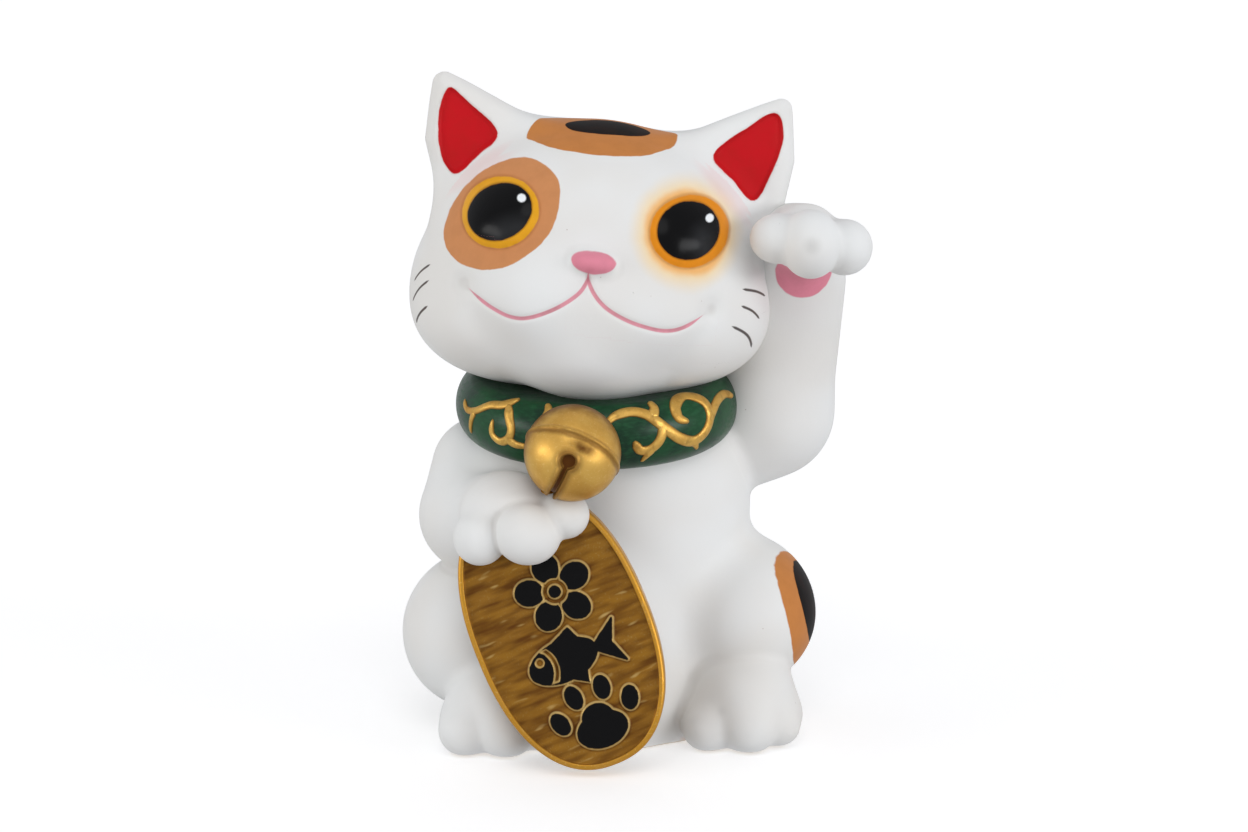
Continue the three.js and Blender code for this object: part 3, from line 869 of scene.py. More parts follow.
def white_material():
    g = Glaze("white_glaze")
    g.paint("haunch_brown", SPOT_BROWN)
    g.paint("haunch_black", PAINT_BLACK, roughness=0.5)
    g.paint("pad", NOSE_PINK, soft=0.2)
    g.stain(g.mark("smudge"), SMUDGE_GREY, far=2.2, near=-1.4, strength=0.22, roughness=0.5)
    g.stain(g.mark("foot_dirt"), PATCH_BROWN, far=1.4, near=-0.8, strength=0.45, roughness=0.5)
    g.paint("biscuit", BISCUIT, soft=0.3, roughness=0.85, thickness=-0.02, mottle=0.35)
    return g.done()


def green_material():
    g = Graph("green_enamel", Specular_IOR_Level=0.2, Coat_Roughness=0.22, Coat_Weight=0.1)
    colour = g.mix(g.ramp(g.noise(9), 0.3, 0.75), COLLAR_GREEN, COLLAR_DEEP)
    brush = g.ramp(g.noise(2.2, detail=4, roughness=0.6, stretch=(1, 1, 3)), 0.42, 0.72)
    colour = g.mix(g.times(brush, 0.4), colour, COLLAR_PALE)
    edge = COLLAR["half_height"]
    # Painted shade: the green darkens towards its top and bottom edges, where the collar meets the head
    # and the body.
    edge_shade = g.ramp(g.mark("edge"), edge - 0.4, edge + 0.3)
    colour = g.mix(g.times(edge_shade, 0.6), colour, COLLAR_DEEP)
    normal = g.bump(g.times(g.noise(1.8), 0.05))
    return g.finish(Base_Color=colour, Roughness=g.blend(brush, 0.3, 0.45), Normal=normal)


def gilt(name, wash_and_shade, height, deep=GOLD_BROWN, bright=GOLD):
    """Gold enamel with brown laid where wash_and_shade is 1: a wash, and on the bell also painted shade.
    Returns its graph, still to be finished.
    """
    g = Graph(name, Specular_IOR_Level=0.08)
    grains = g.noise(0.5, detail=2, roughness=0.6)
    patches = g.ramp(g.noise(6, roughness=0.55), 0.3, 0.72)
    gold = g.mix(g.times(patches, 0.55), bright, GOLD_OLD)
    gold = g.mix(g.times(g.ramp(grains, 0.55, 0.75), 0.35), gold, GOLD_PALE)
    share = wash_and_shade(g)
    g.colour = g.mix(share, gold, deep)
    g.metal = g.blend(share, 0.8, 0.25)
    g.rough = g.blend(g.ramp(patches, 0.2, 0.8), 0.38, 0.48)
    g.height = g.math("MULTIPLY_ADD", grains, 0.008, height(g))
    return g


def gilt_done(g):
    return g.finish(Base_Color=g.colour, Metallic=g.metal, Roughness=g.rough, Normal=g.bump(g.height))


def bell_material():
    def wash_and_shade(g):
        cloud = g.noise(3)

        def cloudy(mark, amount, low, high):
            return g.ramp(g.math("MULTIPLY_ADD", cloud, amount, g.mark(mark)), low, high)

        share = g.ramp(g.mark("wash_and_shade"), 0.1, -0.4)
        for soft, strength in (
            (g.ramp(g.mark("wash_and_shade"), 2.4, 0.0), 0.75),
            (cloudy("smear", 2.5, 3.6, 1.0), 1.0),
            (cloudy("ridge", 1.6, 2.2, 0.9), 0.7),
            # Painted shade: brown over the bell's back half, which turns away towards the collar and the
            # chest.
            (cloudy("rear", 3.0, -5.5, 1.5), 0.85),
        ):
            share = g.math("MAXIMUM", share, g.times(soft, strength))
        return share

    def height(g):
        return g.times(g.noise(3.5, detail=2), 0.06)

    return gilt_done(gilt("bell_gold", wash_and_shade, height, BELL_BROWN))


def scroll_material():
    def wash_and_shade(g):
        worn = g.times(g.ramp(g.noise(2.4), 0.45, 0.75), 0.5)
        edge = g.times(g.ramp(g.mark("height"), 0.45, 0.05), 0.85)
        return g.math("MAXIMUM", worn, edge)

    def height(g):
        return g.times(g.noise(1.2, detail=2), 0.08)

    return gilt_done(gilt("scroll_gold", wash_and_shade, height))


def koban_material():
    def streaks(g, size_mm, detail, roughness, lengthening, low, high):
        """Streaks along the chisel cuts."""
        plate = g.mark("plate", "Vector")
        return g.ramp(g.noise(size_mm, detail, roughness, (1 / lengthening, 1, 1), plate), low, high)

    def on_face(g, value):
        rim = KOBAN_SECTION["rim"]
        return g.times(g.ramp(g.mark("rim"), rim - 0.25, rim + 0.15), value)

    def wash_and_shade(g):
        cuts = g.times(g.ramp(g.mark("cut"), 0.02, 0.22), 0.16)
        foot = g.times(g.ramp(g.mark("motif"), 0.9, 0.15), 0.2)
        base = g.blend(streaks(g, 2.2, 2, 0.45, 5, 0.3, 0.75), 0.55, 0.92)
        return on_face(g, g.math("ADD", base, g.math("ADD", cuts, foot), clamp=True))

    def height(g):
        return g.times(g.noise(1.6), 0.05)

    g = gilt("koban_gold", wash_and_shade, height, KOBAN_BROWN, GOLD_DEEP)
    flecks = streaks(g, 2.0, 1, 0.5, 4, 0.64, 0.78)
    g.colour = g.mix(on_face(g, g.times(flecks, 0.4)), g.colour, GOLD_PALE)
    ink = g.ramp(g.math("MULTIPLY_ADD", g.noise(1.4), 0.4, g.mark("motif")), 0.02, -0.28)
    bare = g.math("SUBTRACT", 1.0, ink)
    # Paler gold just round the black motif: gold rubbed bare at its edge, and a painted highlight along
    # its bevel.
    edge = g.times(g.ramp(g.mark("motif"), 0.3, 0.0), bare)
    g.colour = g.mix(g.times(edge, 0.5), g.colour, GOLD_PALE)
    g.colour = g.mix(ink, g.colour, PAINT_BLACK)
    g.metal = g.times(g.metal, bare)
    g.rough = g.blend(ink, g.rough, 0.42)
    return gilt_done(g)


def rubber_material():
    g = Graph("dark_rubber", Specular_IOR_Level=0.35)
    bloom = g.ramp(g.noise(7, detail=4, roughness=0.6), 0.4, 0.8)
    colour = g.mix(bloom, RUBBER_BLACK, RUBBER_GREY)
    grain = g.times(g.noise(0.5, detail=2), 0.04)
    return g.finish(Base_Color=colour, Roughness=g.blend(bloom, 0.62, 0.78), Normal=g.bump(grain))


# ---------- White skin: trunk, arms, paws and tail ----------


def white_owners():
    """The forms that share the white skin, the trunk first."""
    owners = {"body_shell": masses(TORSO, ellipsoid)}
    for name, at in FOOT_AT.items():
        foot = masses(FOOT, ellipsoid, at)
        owners[name] = joined(PAW_JOIN, foot, masses(FOOT_TOES, round_cone, at))
    owners["lowered_arm"] = masses(LOWERED_ARM, round_cone)
    owners["holding_paw"] = masses(HOLDING_PAW, ellipsoid)
    owners["raised_arm"] = masses(RAISED_ARM, round_cone)
    toes = masses(RAISED_TOES, ellipsoid)
    owners["raised_paw"] = joined(PAW_JOIN, masses(RAISED_PALM, round_cone), toes)
    owners["tail"] = masses(TAIL, round_cone)
    return owners


def hand_finish(points):
    """The slight unevenness of a form that was cast and sponged by hand, as slow waves."""
    x, y, z = np.moveaxis(points, -1, 0)
    crossed = np.sin(z / 6.7 - x / 11.0) * np.sin(y / 4.9 + 1.3)
    return HAND_WAVE * (np.sin(x / 5.3 + y / 9.1) + crossed)


def white_form(owners):
    """The outer surface of everything white below the head, standing on the table."""
    trunk = levelled(joined(FOOT_JOIN, owners["body_shell"], *(owners[f] for f in FOOT_AT)), TRUNK_TOP)
    lower = joined(PAW_JOIN, owners["lowered_arm"], owners["holding_paw"])
    upper = joined(WRIST_JOIN, owners["raised_arm"], owners["raised_paw"])
    whole = joined(LIMB_JOIN, trunk, lower, upper, owners["tail"])

    def field(points):
        return soft_max(whole(points) + hand_finish(points), -points[..., 2], BASE_EDGE)

    return field


def trunk_cavity(trunk):
    """Everything open inside the trunk: the hollow, the neck bore, the vent and its recess."""
    vent = upright(STOPPER_AT, VENT_RADIUS, BELOW, FLOOR + OVERLAP)
    recess = upright(STOPPER_AT, RECESS["radius"], BELOW, RECESS["depth"])
    bore = upright(NECK_BORE["at"], NECK_BORE["radius"], HOLLOW_TOP - OVERLAP, 2 * HOLLOW_TOP)

    def field(points):
        z = points[..., 2]
        hollow = soft_max(trunk(points) + WALL, np.maximum(FLOOR - z, z - HOLLOW_TOP), HOLLOW_EDGE)
        return np.min([hollow, bore(points), vent(points), recess(points)], axis=0)

    return field


# The spot on the right haunch is drawn as seen from the side, in (y, z).
HAUNCH_BROWN = {"centre": (-3.0, 31.8), "half_sizes": (17.5, 15.0), "lean": -12}
HAUNCH_BLACK = {"centre": (-0.5, 33.0), "half_sizes": (13.8, 10.8), "lean": -12}
HAUNCH_FROM = 20  # x
# The pink pad is drawn as seen from the front, in (x, z), on the underside of the raised paw.
PAD = {"centre": (43.0, 122.8), "half_sizes": (7.5, 7.4)}
PALM = {"front": -17, "back": 6, "lowest": 105}
# Stains are round: (centre, radius).
SMUDGES = [((43.4, -33, 132.5), 1.2), ((36.2, -16, 118.1), 0.2), ((22, -32, 12), 0.3)]
FOOT_DIRT = [((13.5, -24, 5), 0.9), ((16.5, -30, 9.5), 0.6), ((12.5, -20, 2), 1.6)]
BARE = {"below": 0.7, "inside": 2.2}  # the clay has no glaze on its foot and in its hollow


def stains(points, rows):
    """Distance outside the nearest of several round stains."""
    return np.min([length(points - np.array(at)) - radius for at, radius in rows], axis=0)


def white_marks(points, outer):
    """What is painted or has settled on the white pieces, as distances outside each mark, and how creased
    the surface is, for the painted shade in creases.
    """
    x, y, z = points.T
    on_haunch = x > HAUNCH_FROM
    on_palm = (z > PALM["lowest"]) & (y < PALM["back"]) & (y > PALM["front"])
    return {
        "haunch_brown": np.where(on_haunch, oval(y, z, **HAUNCH_BROWN), FAR),
        "haunch_black": np.where(on_haunch, oval(y, z, **HAUNCH_BLACK), FAR),
        "pad": np.where(on_palm, oval(x, z, **PAD), FAR),
        "smudge": stains(points, SMUDGES),
        "foot_dirt": stains(points, FOOT_DIRT),
        "biscuit": np.minimum(z - BARE["below"], outer(points) + BARE["inside"]),
        # How creased the surface is, for the painted shade laid in creases.
        "crease": hollowness(outer, points),
    }


def make_white_pieces():
    owners = white_owners()
    outer = white_form(owners)
    cavity = trunk_cavity(owners["body_shell"])

    def whole(points):
        return soft_max(outer(points), -cavity(points), VENT_EDGE)

    points, faces = skin(whole, *region(*owners), SKIN_CELL)
    material = white_material()
    for node, (own, part) in shared_out(points, faces, owners, outer).items():
        own, part = capped(own, part, owners["body_shell"])
        piece = new_piece(f"glazed_{node}", own, part, unit_slope(whole, own), white_marks(own, outer))
        dress(piece, material, [node])


# ---------- Head ----------

EAR_RED_OUTLINES = [
    [(-43.6, 38.6), (-38.5, 36.2), (-29.3, 29.2), (-33.6, 23.0), (-38.6, 17.4), (-43.0, 21.0),
     (-45.2, 30.5)],
    [(41.2, 43.2), (34.5, 38.8), (26.4, 30.8), (31.8, 25.4), (38.3, 20.4), (41.8, 27.0),
     (44.0, 37.0)],
]
EAR_RED_BACK = 0.8  # the red stops here, on the ear's rim
# Painted shapes are drawn flat, so each is kept to its own side of the head.
NOWHERE = 2 * FAR
FACE_FROM = -8  # y, looking back from the face
CROWN_FROM = 12  # z
EARS_FROM = 18  # x, to both sides
EARS_BACK = 4  # y
CHEEKS_FROM = 28  # x, to both sides
NOSE_WITHIN = 12  # x, to both sides
PATCH_OUTLINE = [(-39.6, 3.2), (-37.6, 12.0), (-31.0, 20.6), (-21.3, 25.4), (-12.9, 22.6),
                 (-11.2, 15.6), (-13.4, 7.6), (-20.6, 0.4), (-29.3, -2.9), (-36.0, -1.8)]
NOSE_OUTLINE = [(-6.5, 4.4), (-4.4, 6.0), (-1.0, 6.4), (2.6, 6.0),
                (4.8, 4.1), (3.2, 1.9), (-1.2, 0.9), (-5.2, 2.1)]
MOUTH = {
    "mouth_left": [(-1.8, 1.8), (-1.8, -0.8), (-3.6, -4.4), (-8.6, -8.6), (-15, -12), (-19.7, -12.6),
                   (-24.5, -11.3), (-28.3, -9.7), (-31.5, -8.1)],
    "mouth_right": [(-1.8, 1.8), (-1.6, -0.8), (0.6, -4.3), (3.9, -7.1), (8.7, -9.2), (13.4, -10.4),
                    (18.8, -11), (23.4, -9.9), (28.6, -6.6)],
}
DIMPLES = [(-32.6, -7.4), (30.0, -5.8)]
JAW_FOLDS = [[(-31, -11), (-27, -18), (-24, -26)], [(29.5, -10), (25, -17), (21.5, -26)]]
EYE_GLOW = {"centre": (21.6, 12.8), "half_sizes": (10.6, 9.2), "lean": -30}
# On the crown, seen from above.
TOP_BROWN_OUTLINE = [(-21.6, -8), (-19.5, -13), (-14.5, -17.9), (-8, -20.5), (-2, -21.4), (4, -20.6),
                     (9, -18.4), (13, -13.8), (16.4, -7.5), (15.5, -1), (8, 3), (-4, 4.5), (-15, 2.5)]
TOP_BLACK = {"centre": (-1.4, -6.4), "half_sizes": (11.0, 6.2), "lean": 4}
# Ovals that come in pairs, the left one first.
FACE_PAIRS = {
    "iris": IRISES,
    "pupil": PUPILS,
    # Where a painted reflection lightens each pupil.
    "pupil_sheen": [
        {"centre": (-22.9, 8.0), "half_sizes": (5.0, 2.2), "lean": 30},
        {"centre": (26.2, 10.4), "half_sizes": (2.0, 4.0), "lean": 20},
    ],
    "glint": [
        {"centre": (-20.7, 16.3), "half_sizes": (1.15, 1.0)},
        {"centre": (26.8, 16.9), "half_sizes": (1.1, 1.0)},
    ],
    "ear_blush": [
        {"centre": (-33.5, 19.6), "half_sizes": (6.0, 0.8), "lean": 40},
        {"centre": (31.0, 22.4), "half_sizes": (6.0, 0.8), "lean": -42},
    ],
}
# Whiskers lie on the cheeks, so they are drawn as seen from the side: (y, z) points.
WHISKERS = [
    ("whisker_high", [(-10.3, -11.0), (-13.3, -7.9), (-16.9, -5.1)],
     [(-21.2, -0.5), (-15.9, -1.4), (-10.8, -3.0)]),
    ("whisker_mid", [(-11.1, -16.2), (-14.8, -12.3), (-18.8, -8.9)],
     [(-22.5, -4.6), (-18.9, -6.1), (-15.7, -8.4)]),
    ("whisker_low", [(-12.8, -21.4), (-16.6, -18.4), (-20.8, -15.2)],
     [(-25.2, -9.6), (-19.9, -12.3), (-15.2, -16.2)]),
]


def ear_form(tip, inner, outer, bulge):
    """A wedge with a rounded outline that grows thinner towards its tip."""
    base = (np.array(inner) + np.array(outer)) / 2
    rise = np.array(tip) - base

    def field(local):
        x, y, z = np.moveaxis(local, -1, 0)
        height = ((x - base[0]) * rise[0] + (z - base[1]) * rise[1]) / (rise @ rise)
        half = EAR["base_half"] - EAR["thinning"] * np.clip(height, -0.3, 1.1)
        flat = polygon(x, z, (tip, inner, outer, bulge), EAR["edge"])
        return soft_max(flat, np.abs(y - 2 - height) - half, EAR["soft"])

    return field


def painted_shape(u, v, outline, near):
    """Distance outside a smooth painted outline, for the points that are near it."""
    gap = np.full(near.shape, FAR)
    if near.any():
        gap[near] = polygon(u[near], v[near], smooth_line(outline, 6, closed=True))
    return gap


EAR_SINK = {"depth": 1.1, "slope": 1.6, "start": 0.3}
# Where a groove fades at its ends: how far past them it would reach, how fast and from what share.
MOUTH_GROOVE = {"depth": 0.4, "width": 0.8, "reach": 4.0, "past": (0, 0), "fade": 9, "least": 0.25}
JAW_GROOVE = {"depth": 0.55, "width": 3.4, "reach": 12.0, "past": (0.3, 0.2), "fade": 2.5, "least": 0}
DIMPLE = {"depth": 1.3, "radius": 3.0}
FACE_DEPTH = -14  # the mouth, the dimples and the eyes lie in front of this y


def smooth_step(value, low, high):
    share = np.clip((value - low) / (high - low), 0, 1)
    return share * share * (3 - 2 * share)


def groove(u, v, line, depth, width, reach, past, fade, least):
    """Depth of a soft groove along a line, shallower towards its ends."""
    across, along = stroke(u, v, line, reach)
    ends = np.clip(np.minimum(along + past[0], 1 + past[1] - along) * fade + least, 0, 1)
    return depth * ends * np.exp(-((across / width) ** 2))


def ear_red(x, y, z, back):
    """Distance outside the red of the nearer ear, for points in front of some depth."""
    ears = [
        painted_shape(x, z, outline, (side * x > EARS_FROM) & (z > CROWN_FROM) & (y < back))
        for side, outline in zip((-1, 1), EAR_RED_OUTLINES)
    ]
    return np.minimum(*ears)


def carving(local):
    """How much deeper than the plain form the face is: ears, mouth and dimples sink, eyes swell."""
    x, y, z = np.moveaxis(local, -1, 0)
    in_ear = -ear_red(x, y, z, EAR_RED_BACK + 0.5)
    depth = EAR_SINK["depth"] * smooth_step(in_ear / EAR_SINK["slope"] + EAR_SINK["start"], 0, 1)
    front = y < FACE_DEPTH
    front_x = np.where(front, x, NOWHERE)
    for line in MOUTH.values():
        depth += groove(front_x, z, line, **MOUTH_GROOVE)
    for line in JAW_FOLDS:
        depth += groove(front_x, z, line, **JAW_GROOVE)
    for u, v in DIMPLES:
        depth += front * DIMPLE["depth"] * np.exp(-((x - u) ** 2 + (z - v) ** 2) / DIMPLE["radius"] ** 2)
    for iris in IRISES:
        inside = np.clip(-oval(x, z, **iris) / min(iris["half_sizes"]), 0, 1)
        depth -= front * EYE_SWELL * (1 - (1 - inside) ** 2) ** 0.8
    return depth


def head_form():
    skull = masses(SKULL, ellipsoid)
    ears = [ear_form(**shape) for shape in EARS]

    def field(points):
        local = into(points, HEAD_AT, HEAD_TURN)
        whole = skull(local)
        for ear in ears:
            whole = soft_min(whole, ear(local), EAR["join"])
        return whole + carving(local) + hand_finish(points)

    return field


def head_marks(points, form):
    x, y, z = into(points, HEAD_AT, HEAD_TURN).T
    front, top, left = y < FACE_FROM, z > CROWN_FROM, x < 0
    marks = {
        "patch": painted_shape(x, z, PATCH_OUTLINE, front & left),
        "nose": painted_shape(x, z, NOSE_OUTLINE, front & (np.abs(x) < NOSE_WITHIN)),
        "glow": np.where(front & ~left, oval(x, z, **EYE_GLOW), FAR),
        "ear_red": np.maximum(ear_red(x, y, z, EARS_BACK), y - EAR_RED_BACK),
        "top_brown": painted_shape(x, y, TOP_BROWN_OUTLINE, top),
        "top_black": np.where(top, oval(x, y, **TOP_BLACK), FAR),
        # How creased the surface is, for the painted shade laid in creases.
        "crease": hollowness(form, points),
    }
    for name, pair in FACE_PAIRS.items():
        on_left, on_right = (oval(x, z, **shape) for shape in pair)
        marks[name] = np.where(front, np.where(left, on_left, on_right), FAR)
    for name, line in MOUTH.items():
        marks[name] = np.stack(stroke(np.where(front, x, NOWHERE), z, line), 1)
    for name, left_line, right_line in WHISKERS:
        on_left = np.stack(stroke(np.where(x < -CHEEKS_FROM, y, NOWHERE), z, left_line), 1)
        on_right = np.stack(stroke(np.where(x > CHEEKS_FROM, y, NOWHERE), z, right_line), 1)
        marks[name] = np.where(left[:, None], on_left, on_right)
    return marks


def make_head():
    form = head_form()
    points, faces = skin(form, *region("head_shell"), HEAD_CELL)
    normals, marks = unit_slope(form, points), head_marks(points, form)
    piece = new_piece("glazed_head_shell", points, faces, normals, marks)
    dress(piece, head_material(), ["head_shell"])


# ---------- Collar, its vines and the bell ----------

# Each vine is drawn on the collar's face: its half width at the start and at the end in
# millimetres, and points of (degrees round from the front, height above the middle).
FRONT_VINES = [
    (0.9, 1.1, [(3, 4.4), (8, 6.6), (15, 7.3), (21, 6.5), (25, 4.7), (29, 2.4), (35, -0.6),
                (42, -2.3), (48, -1.0), (52, 2.3), (52, 6.2), (47, 8.2), (40, 8.3), (35.5, 7.0),
                (35.5, 4.6), (39.5, 3.2)]),
    (1.0, 0.8, [(27, 3.4), (27, 1.6), (25, -0.8), (21.5, -2.4), (17.5, -2.2), (15, 0.3)]),
    (1.0, 0.25, [(22.5, -2.2), (20.5, -4.0), (18.5, -5.8)]),
    (1.0, 0.25, [(42, -2.2), (44, -3.6), (45.5, -5.2)]),
    (1.1, 0.6, [(23.6, 5.8), (25.6, 7.4), (25.0, 8.6)]),
    (1.0, 0.7, [(51, 1.6), (55, 3.9), (61, 5.6), (69, 5.9), (76, 4.2)]),
]
LEFT_VINES = [
    (0.5, 0.9, [(-70, 4.4), (-65, 2.6), (-58, 3.4), (-50, 5.9), (-43, 6.8), (-37, 8.4)]),
    (0.9, 0.3, [(-58.5, 3.2), (-60, 0.6), (-61.5, -3.4)]),
    (1.0, 0.6, [(-40, 7.2), (-37.5, 4.5), (-35.5, 1.6), (-37, -1.0), (-41.5, -2.3),
                (-45.6, -0.8), (-45.6, 3.0)]),
    (1.0, 0.5, [(-37.2, -1.0), (-33.6, -2.1), (-28, -2.1)]),
    (0.5, 1.0, [(-22, 8.4), (-20.5, 7.3), (-20.5, 5.4)]),
]


VINE_GROWTH = 1.55  # how much wider the strokes are than drawn
VINE_RISE = 0.65
VINE_SINK = 0.12
VINE_TAPER = {"rate": 9, "least": 0.12}  # how a vine narrows towards both ends
BACK_TURNS = (81, -112)  # degrees by which the front vines are turned to go on round each side


def turned_vines(turn, flip):
    """The front vines drawn again round the collar, and back to front where flip is -1."""
    return [(a, b, [(flip * angle + turn, z) for angle, z in line]) for a, b, line in FRONT_VINES]


def all_vines():
    """The drawn vines, and the front ones carried on round the back."""
    right_turn, left_turn = BACK_TURNS
    return FRONT_VINES + LEFT_VINES + turned_vines(right_turn, 1) + turned_vines(left_turn, -1)


def collar_form():
    size = np.array((COLLAR["half_width"], COLLAR["half_height"]), np.float32)

    def field(points):
        local = into(points, COLLAR["at"], COLLAR["turn"])
        out = length(local[..., :2]) - COLLAR["ring"]
        out = np.where(out < 0, out * COLLAR["half_width"] / COLLAR["inner_half_width"], out)
        return stretched_ball(np.stack((out, local[..., 2]), -1) / size, size)

    return field


def on_collar(line):
    """Drawn points on the collar's face, in modelling millimetres."""
    angle, z = np.radians(line[:, 0]), line[:, 1]
    bulge = np.sqrt(1 - np.clip(z / COLLAR["half_height"], -0.99, 0.99) ** 2)
    out = COLLAR["ring"] + COLLAR["half_width"] * bulge
    local = np.stack((out * np.sin(angle), -out * np.cos(angle), z), 1)
    return local @ turned(*COLLAR["turn"]).T + np.array(COLLAR["at"])


def vine_tube(start_half, end_half, drawn, sides=12):
    """A raised stroke with a rounded section that follows a drawn line, closed at both ends."""
    middle = on_collar(smooth_line(drawn, 7)).astype(np.float32)
    count = len(middle)
    along = np.linspace(0, 1, count)
    half = VINE_GROWTH * (start_half + (end_half - start_half) * along)
    from_end = np.minimum(along, 1 - along)
    half *= np.sqrt(np.clip(from_end * VINE_TAPER["rate"] + VINE_TAPER["least"], 0, 1))
    out = unit_slope(collar_form(), middle)
    side = np.cross(np.gradient(middle, axis=0), out)
    side /= length(side)[:, None]
    turn = np.linspace(0, 2 * math.pi, sides, endpoint=False)
    across = side[:, None] * np.outer(half, np.cos(turn))[..., None]
    up = out[:, None] * np.outer(np.minimum(half, VINE_RISE), np.sin(turn))[..., None]
    rings = (middle - out * VINE_SINK)[:, None] + across + up
    points = np.vstack((rings.reshape(-1, 3), middle[:1], middle[-1:]))
    first = np.arange(sides)
    first_cap = fan_faces(first, count * sides)
    last_cap = fan_faces((count - 1) * sides + first, count * sides + 1)[:, ::-1]
    return points, np.vstack((ring_faces(count, sides), first_cap, last_cap))


def stacked(parts):
    """Several meshes as one."""
    sizes = np.cumsum([0] + [len(points) for points, _ in parts])
    points = np.vstack([points for points, _ in parts])
    return points, np.vstack([faces + start for start, (_, faces) in zip(sizes, parts)])


def make_collar():
    form = collar_form()
    points, faces = skin(form, *region("collar"), COLLAR_CELL)
    height = np.abs(into(points, COLLAR["at"], COLLAR["turn"])[:, 2])
    piece = new_piece("enamel_collar", points, faces, unit_slope(form, points), {"edge": height})
    dress(piece, green_material(), ["collar"])
    points, faces = stacked([vine_tube(*vine) for vine in all_vines()])
    vines = new_piece("collar_scrolls", points, faces, None, {"height": form(points)})
    dress(vines, scroll_material(), [])


def bell_form():
    towards = np.array(BELL_HOLE["towards"]) / np.linalg.norm(BELL_HOLE["towards"])
    radius, soft, edge = BELL["radius"], BELL["soft"], BELL["edge"]

    def opening(local):
        """Distances from the sound hole's wall and from the slot's walls."""
        along = local @ towards
        aside = length(local - along[..., None] * towards)
        hole = np.where(along > 0, aside - BELL_HOLE["radius"], FAR)
        slot = np.abs(local[..., 0] - BELL_SLOT["x"]) - BELL_SLOT["half_width"]
        return hole, np.maximum(slot, local[..., 2] - BELL_SLOT["top"])

    def field(points):
        local = into(points, BELL["at"], BELL["turn"])
        reach = length(local)
        flat = length(local[..., :2])
        ridge = np.hypot(flat - radius + BELL["ridge_inset"], local[..., 2]) - BELL["ridge"]
        ball = soft_min(reach - radius, ridge, soft)
        gap = soft_min(*opening(local), BELL["opening_soft"])
        rim = np.hypot(gap - edge, reach - radius) - BELL_HOLE["rim"] / 2
        return soft_max(soft_min(ball, rim, soft), -np.maximum(gap, BELL_HOLE["floor"] - reach), edge)

    return field, opening


def make_bell():
    field, opening = bell_form()
    points, faces = skin(field, *region("bell"), BELL_CELL)
    local = into(points, BELL["at"], BELL["turn"])
    painted = {
        "wash_and_shade": np.minimum(*opening(local)),
        "smear": length((local - np.array(BELL_SMEAR["at"])) * np.array(BELL_SMEAR["squeeze"])),
        "ridge": np.abs(local[:, 2] + BELL_RIDGE_BAND),
        # How far back each point is, for the painted shade on the bell's back half.
        "rear": points[:, 1] - BELL["at"][1],
    }
    piece = new_piece("gilt_bell", points, faces, unit_slope(field, points), painted)
    dress(piece, bell_material(), ["bell"])


# ---------- Koban ----------


PETALS = {"count": 5, "out": 6.4, "half_sizes": (4.1, 3.7), "heart": 3.1, "button": 1.9}


def flower(u, v):
    """Round petals that just part from each other, about a button."""
    petals = []
    for k in range(PETALS["count"]):
        angle = 90 + 360 / PETALS["count"] * k
        turn = math.radians(angle)
        centre = (PETALS["out"] * math.cos(turn), PETALS["out"] * math.sin(turn))
        petals.append(oval(u, v, centre, PETALS["half_sizes"], angle))
    reach = np.hypot(u, v)
    ring = np.maximum(np.min(petals, axis=0), PETALS["heart"] - reach)
    return np.minimum(ring, reach - PETALS["button"])


FISH_BODY = {"centre": (-2.6, 0), "half_sizes": (9.6, 5.6), "lean": 4}
# The tail and the two fins: corners, and how much the outline is grown.
FISH_FINS = [
    ([(5.0, 0.4), (12.6, 5.6), (10.4, 0.2), (12.4, -5.4)], 0.6),
    ([(-5.5, 4.4), (1.5, 7.6), (3.4, 3.4)], 0.4),
    ([(-2.5, -5.0), (1.6, -7.4), (2.4, -4.0)], 0.3),
]
FISH_GILL = {"x": -11.2, "radius": 6.4, "half_width": 0.5, "half_height": 4.2}
FISH_EYE = {"at": (-8.4, 1.7), "radius": 0.95}


def fish(u, v):
    """A round-bellied fish with a forked tail, two fins, a gill and an eye."""
    fins = [polygon(u, v, corners, grown) for corners, grown in FISH_FINS]
    whole = np.min([oval(u, v, **FISH_BODY), *fins], axis=0)
    arc = np.abs(np.hypot(u - FISH_GILL["x"], v) - FISH_GILL["radius"]) - FISH_GILL["half_width"]
    gill = np.maximum(arc, np.abs(v) - FISH_GILL["half_height"])
    eye = np.hypot(u - FISH_EYE["at"][0], v - FISH_EYE["at"][1]) - FISH_EYE["radius"]
    return np.maximum(whole, -np.minimum(gill, eye))


# Two ovals for the broad pad and four for the toes: centre, half sizes and lean.
PAW_PRINT = [
    ((0, -3.4), (7.0, 5.0), 0),
    ((0, -0.8), (4.6, 4.6), 0),
    ((-9.4, 1.6), (2.5, 3.5), 18),
    ((-3.8, 6.6), (2.5, 3.5), 8),
    ((3.8, 6.6), (2.5, 3.5), -8),
    ((9.4, 1.6), (2.5, 3.5), -18),
]


def paw_print(u, v):
    """A broad pad under four toes."""
    return np.min([oval(u, v, *part) for part in PAW_PRINT], axis=0)


MOTIFS = [(flower, (2.2, 9.6)), (fish, (0.2, -7.4)), (paw_print, (0.2, -23.6))]


def motif_distance(u, v):
    return np.min([shape(u - at[0], v - at[1]) for shape, at in MOTIFS], axis=0)


GOUGES = {"count": 230, "seed": 11, "field": (24, 33), "half_long": (3.0, 8.0),
          "half_wide": (0.5, 1.15), "depth": (0.05, 0.24), "lean": 0.05}


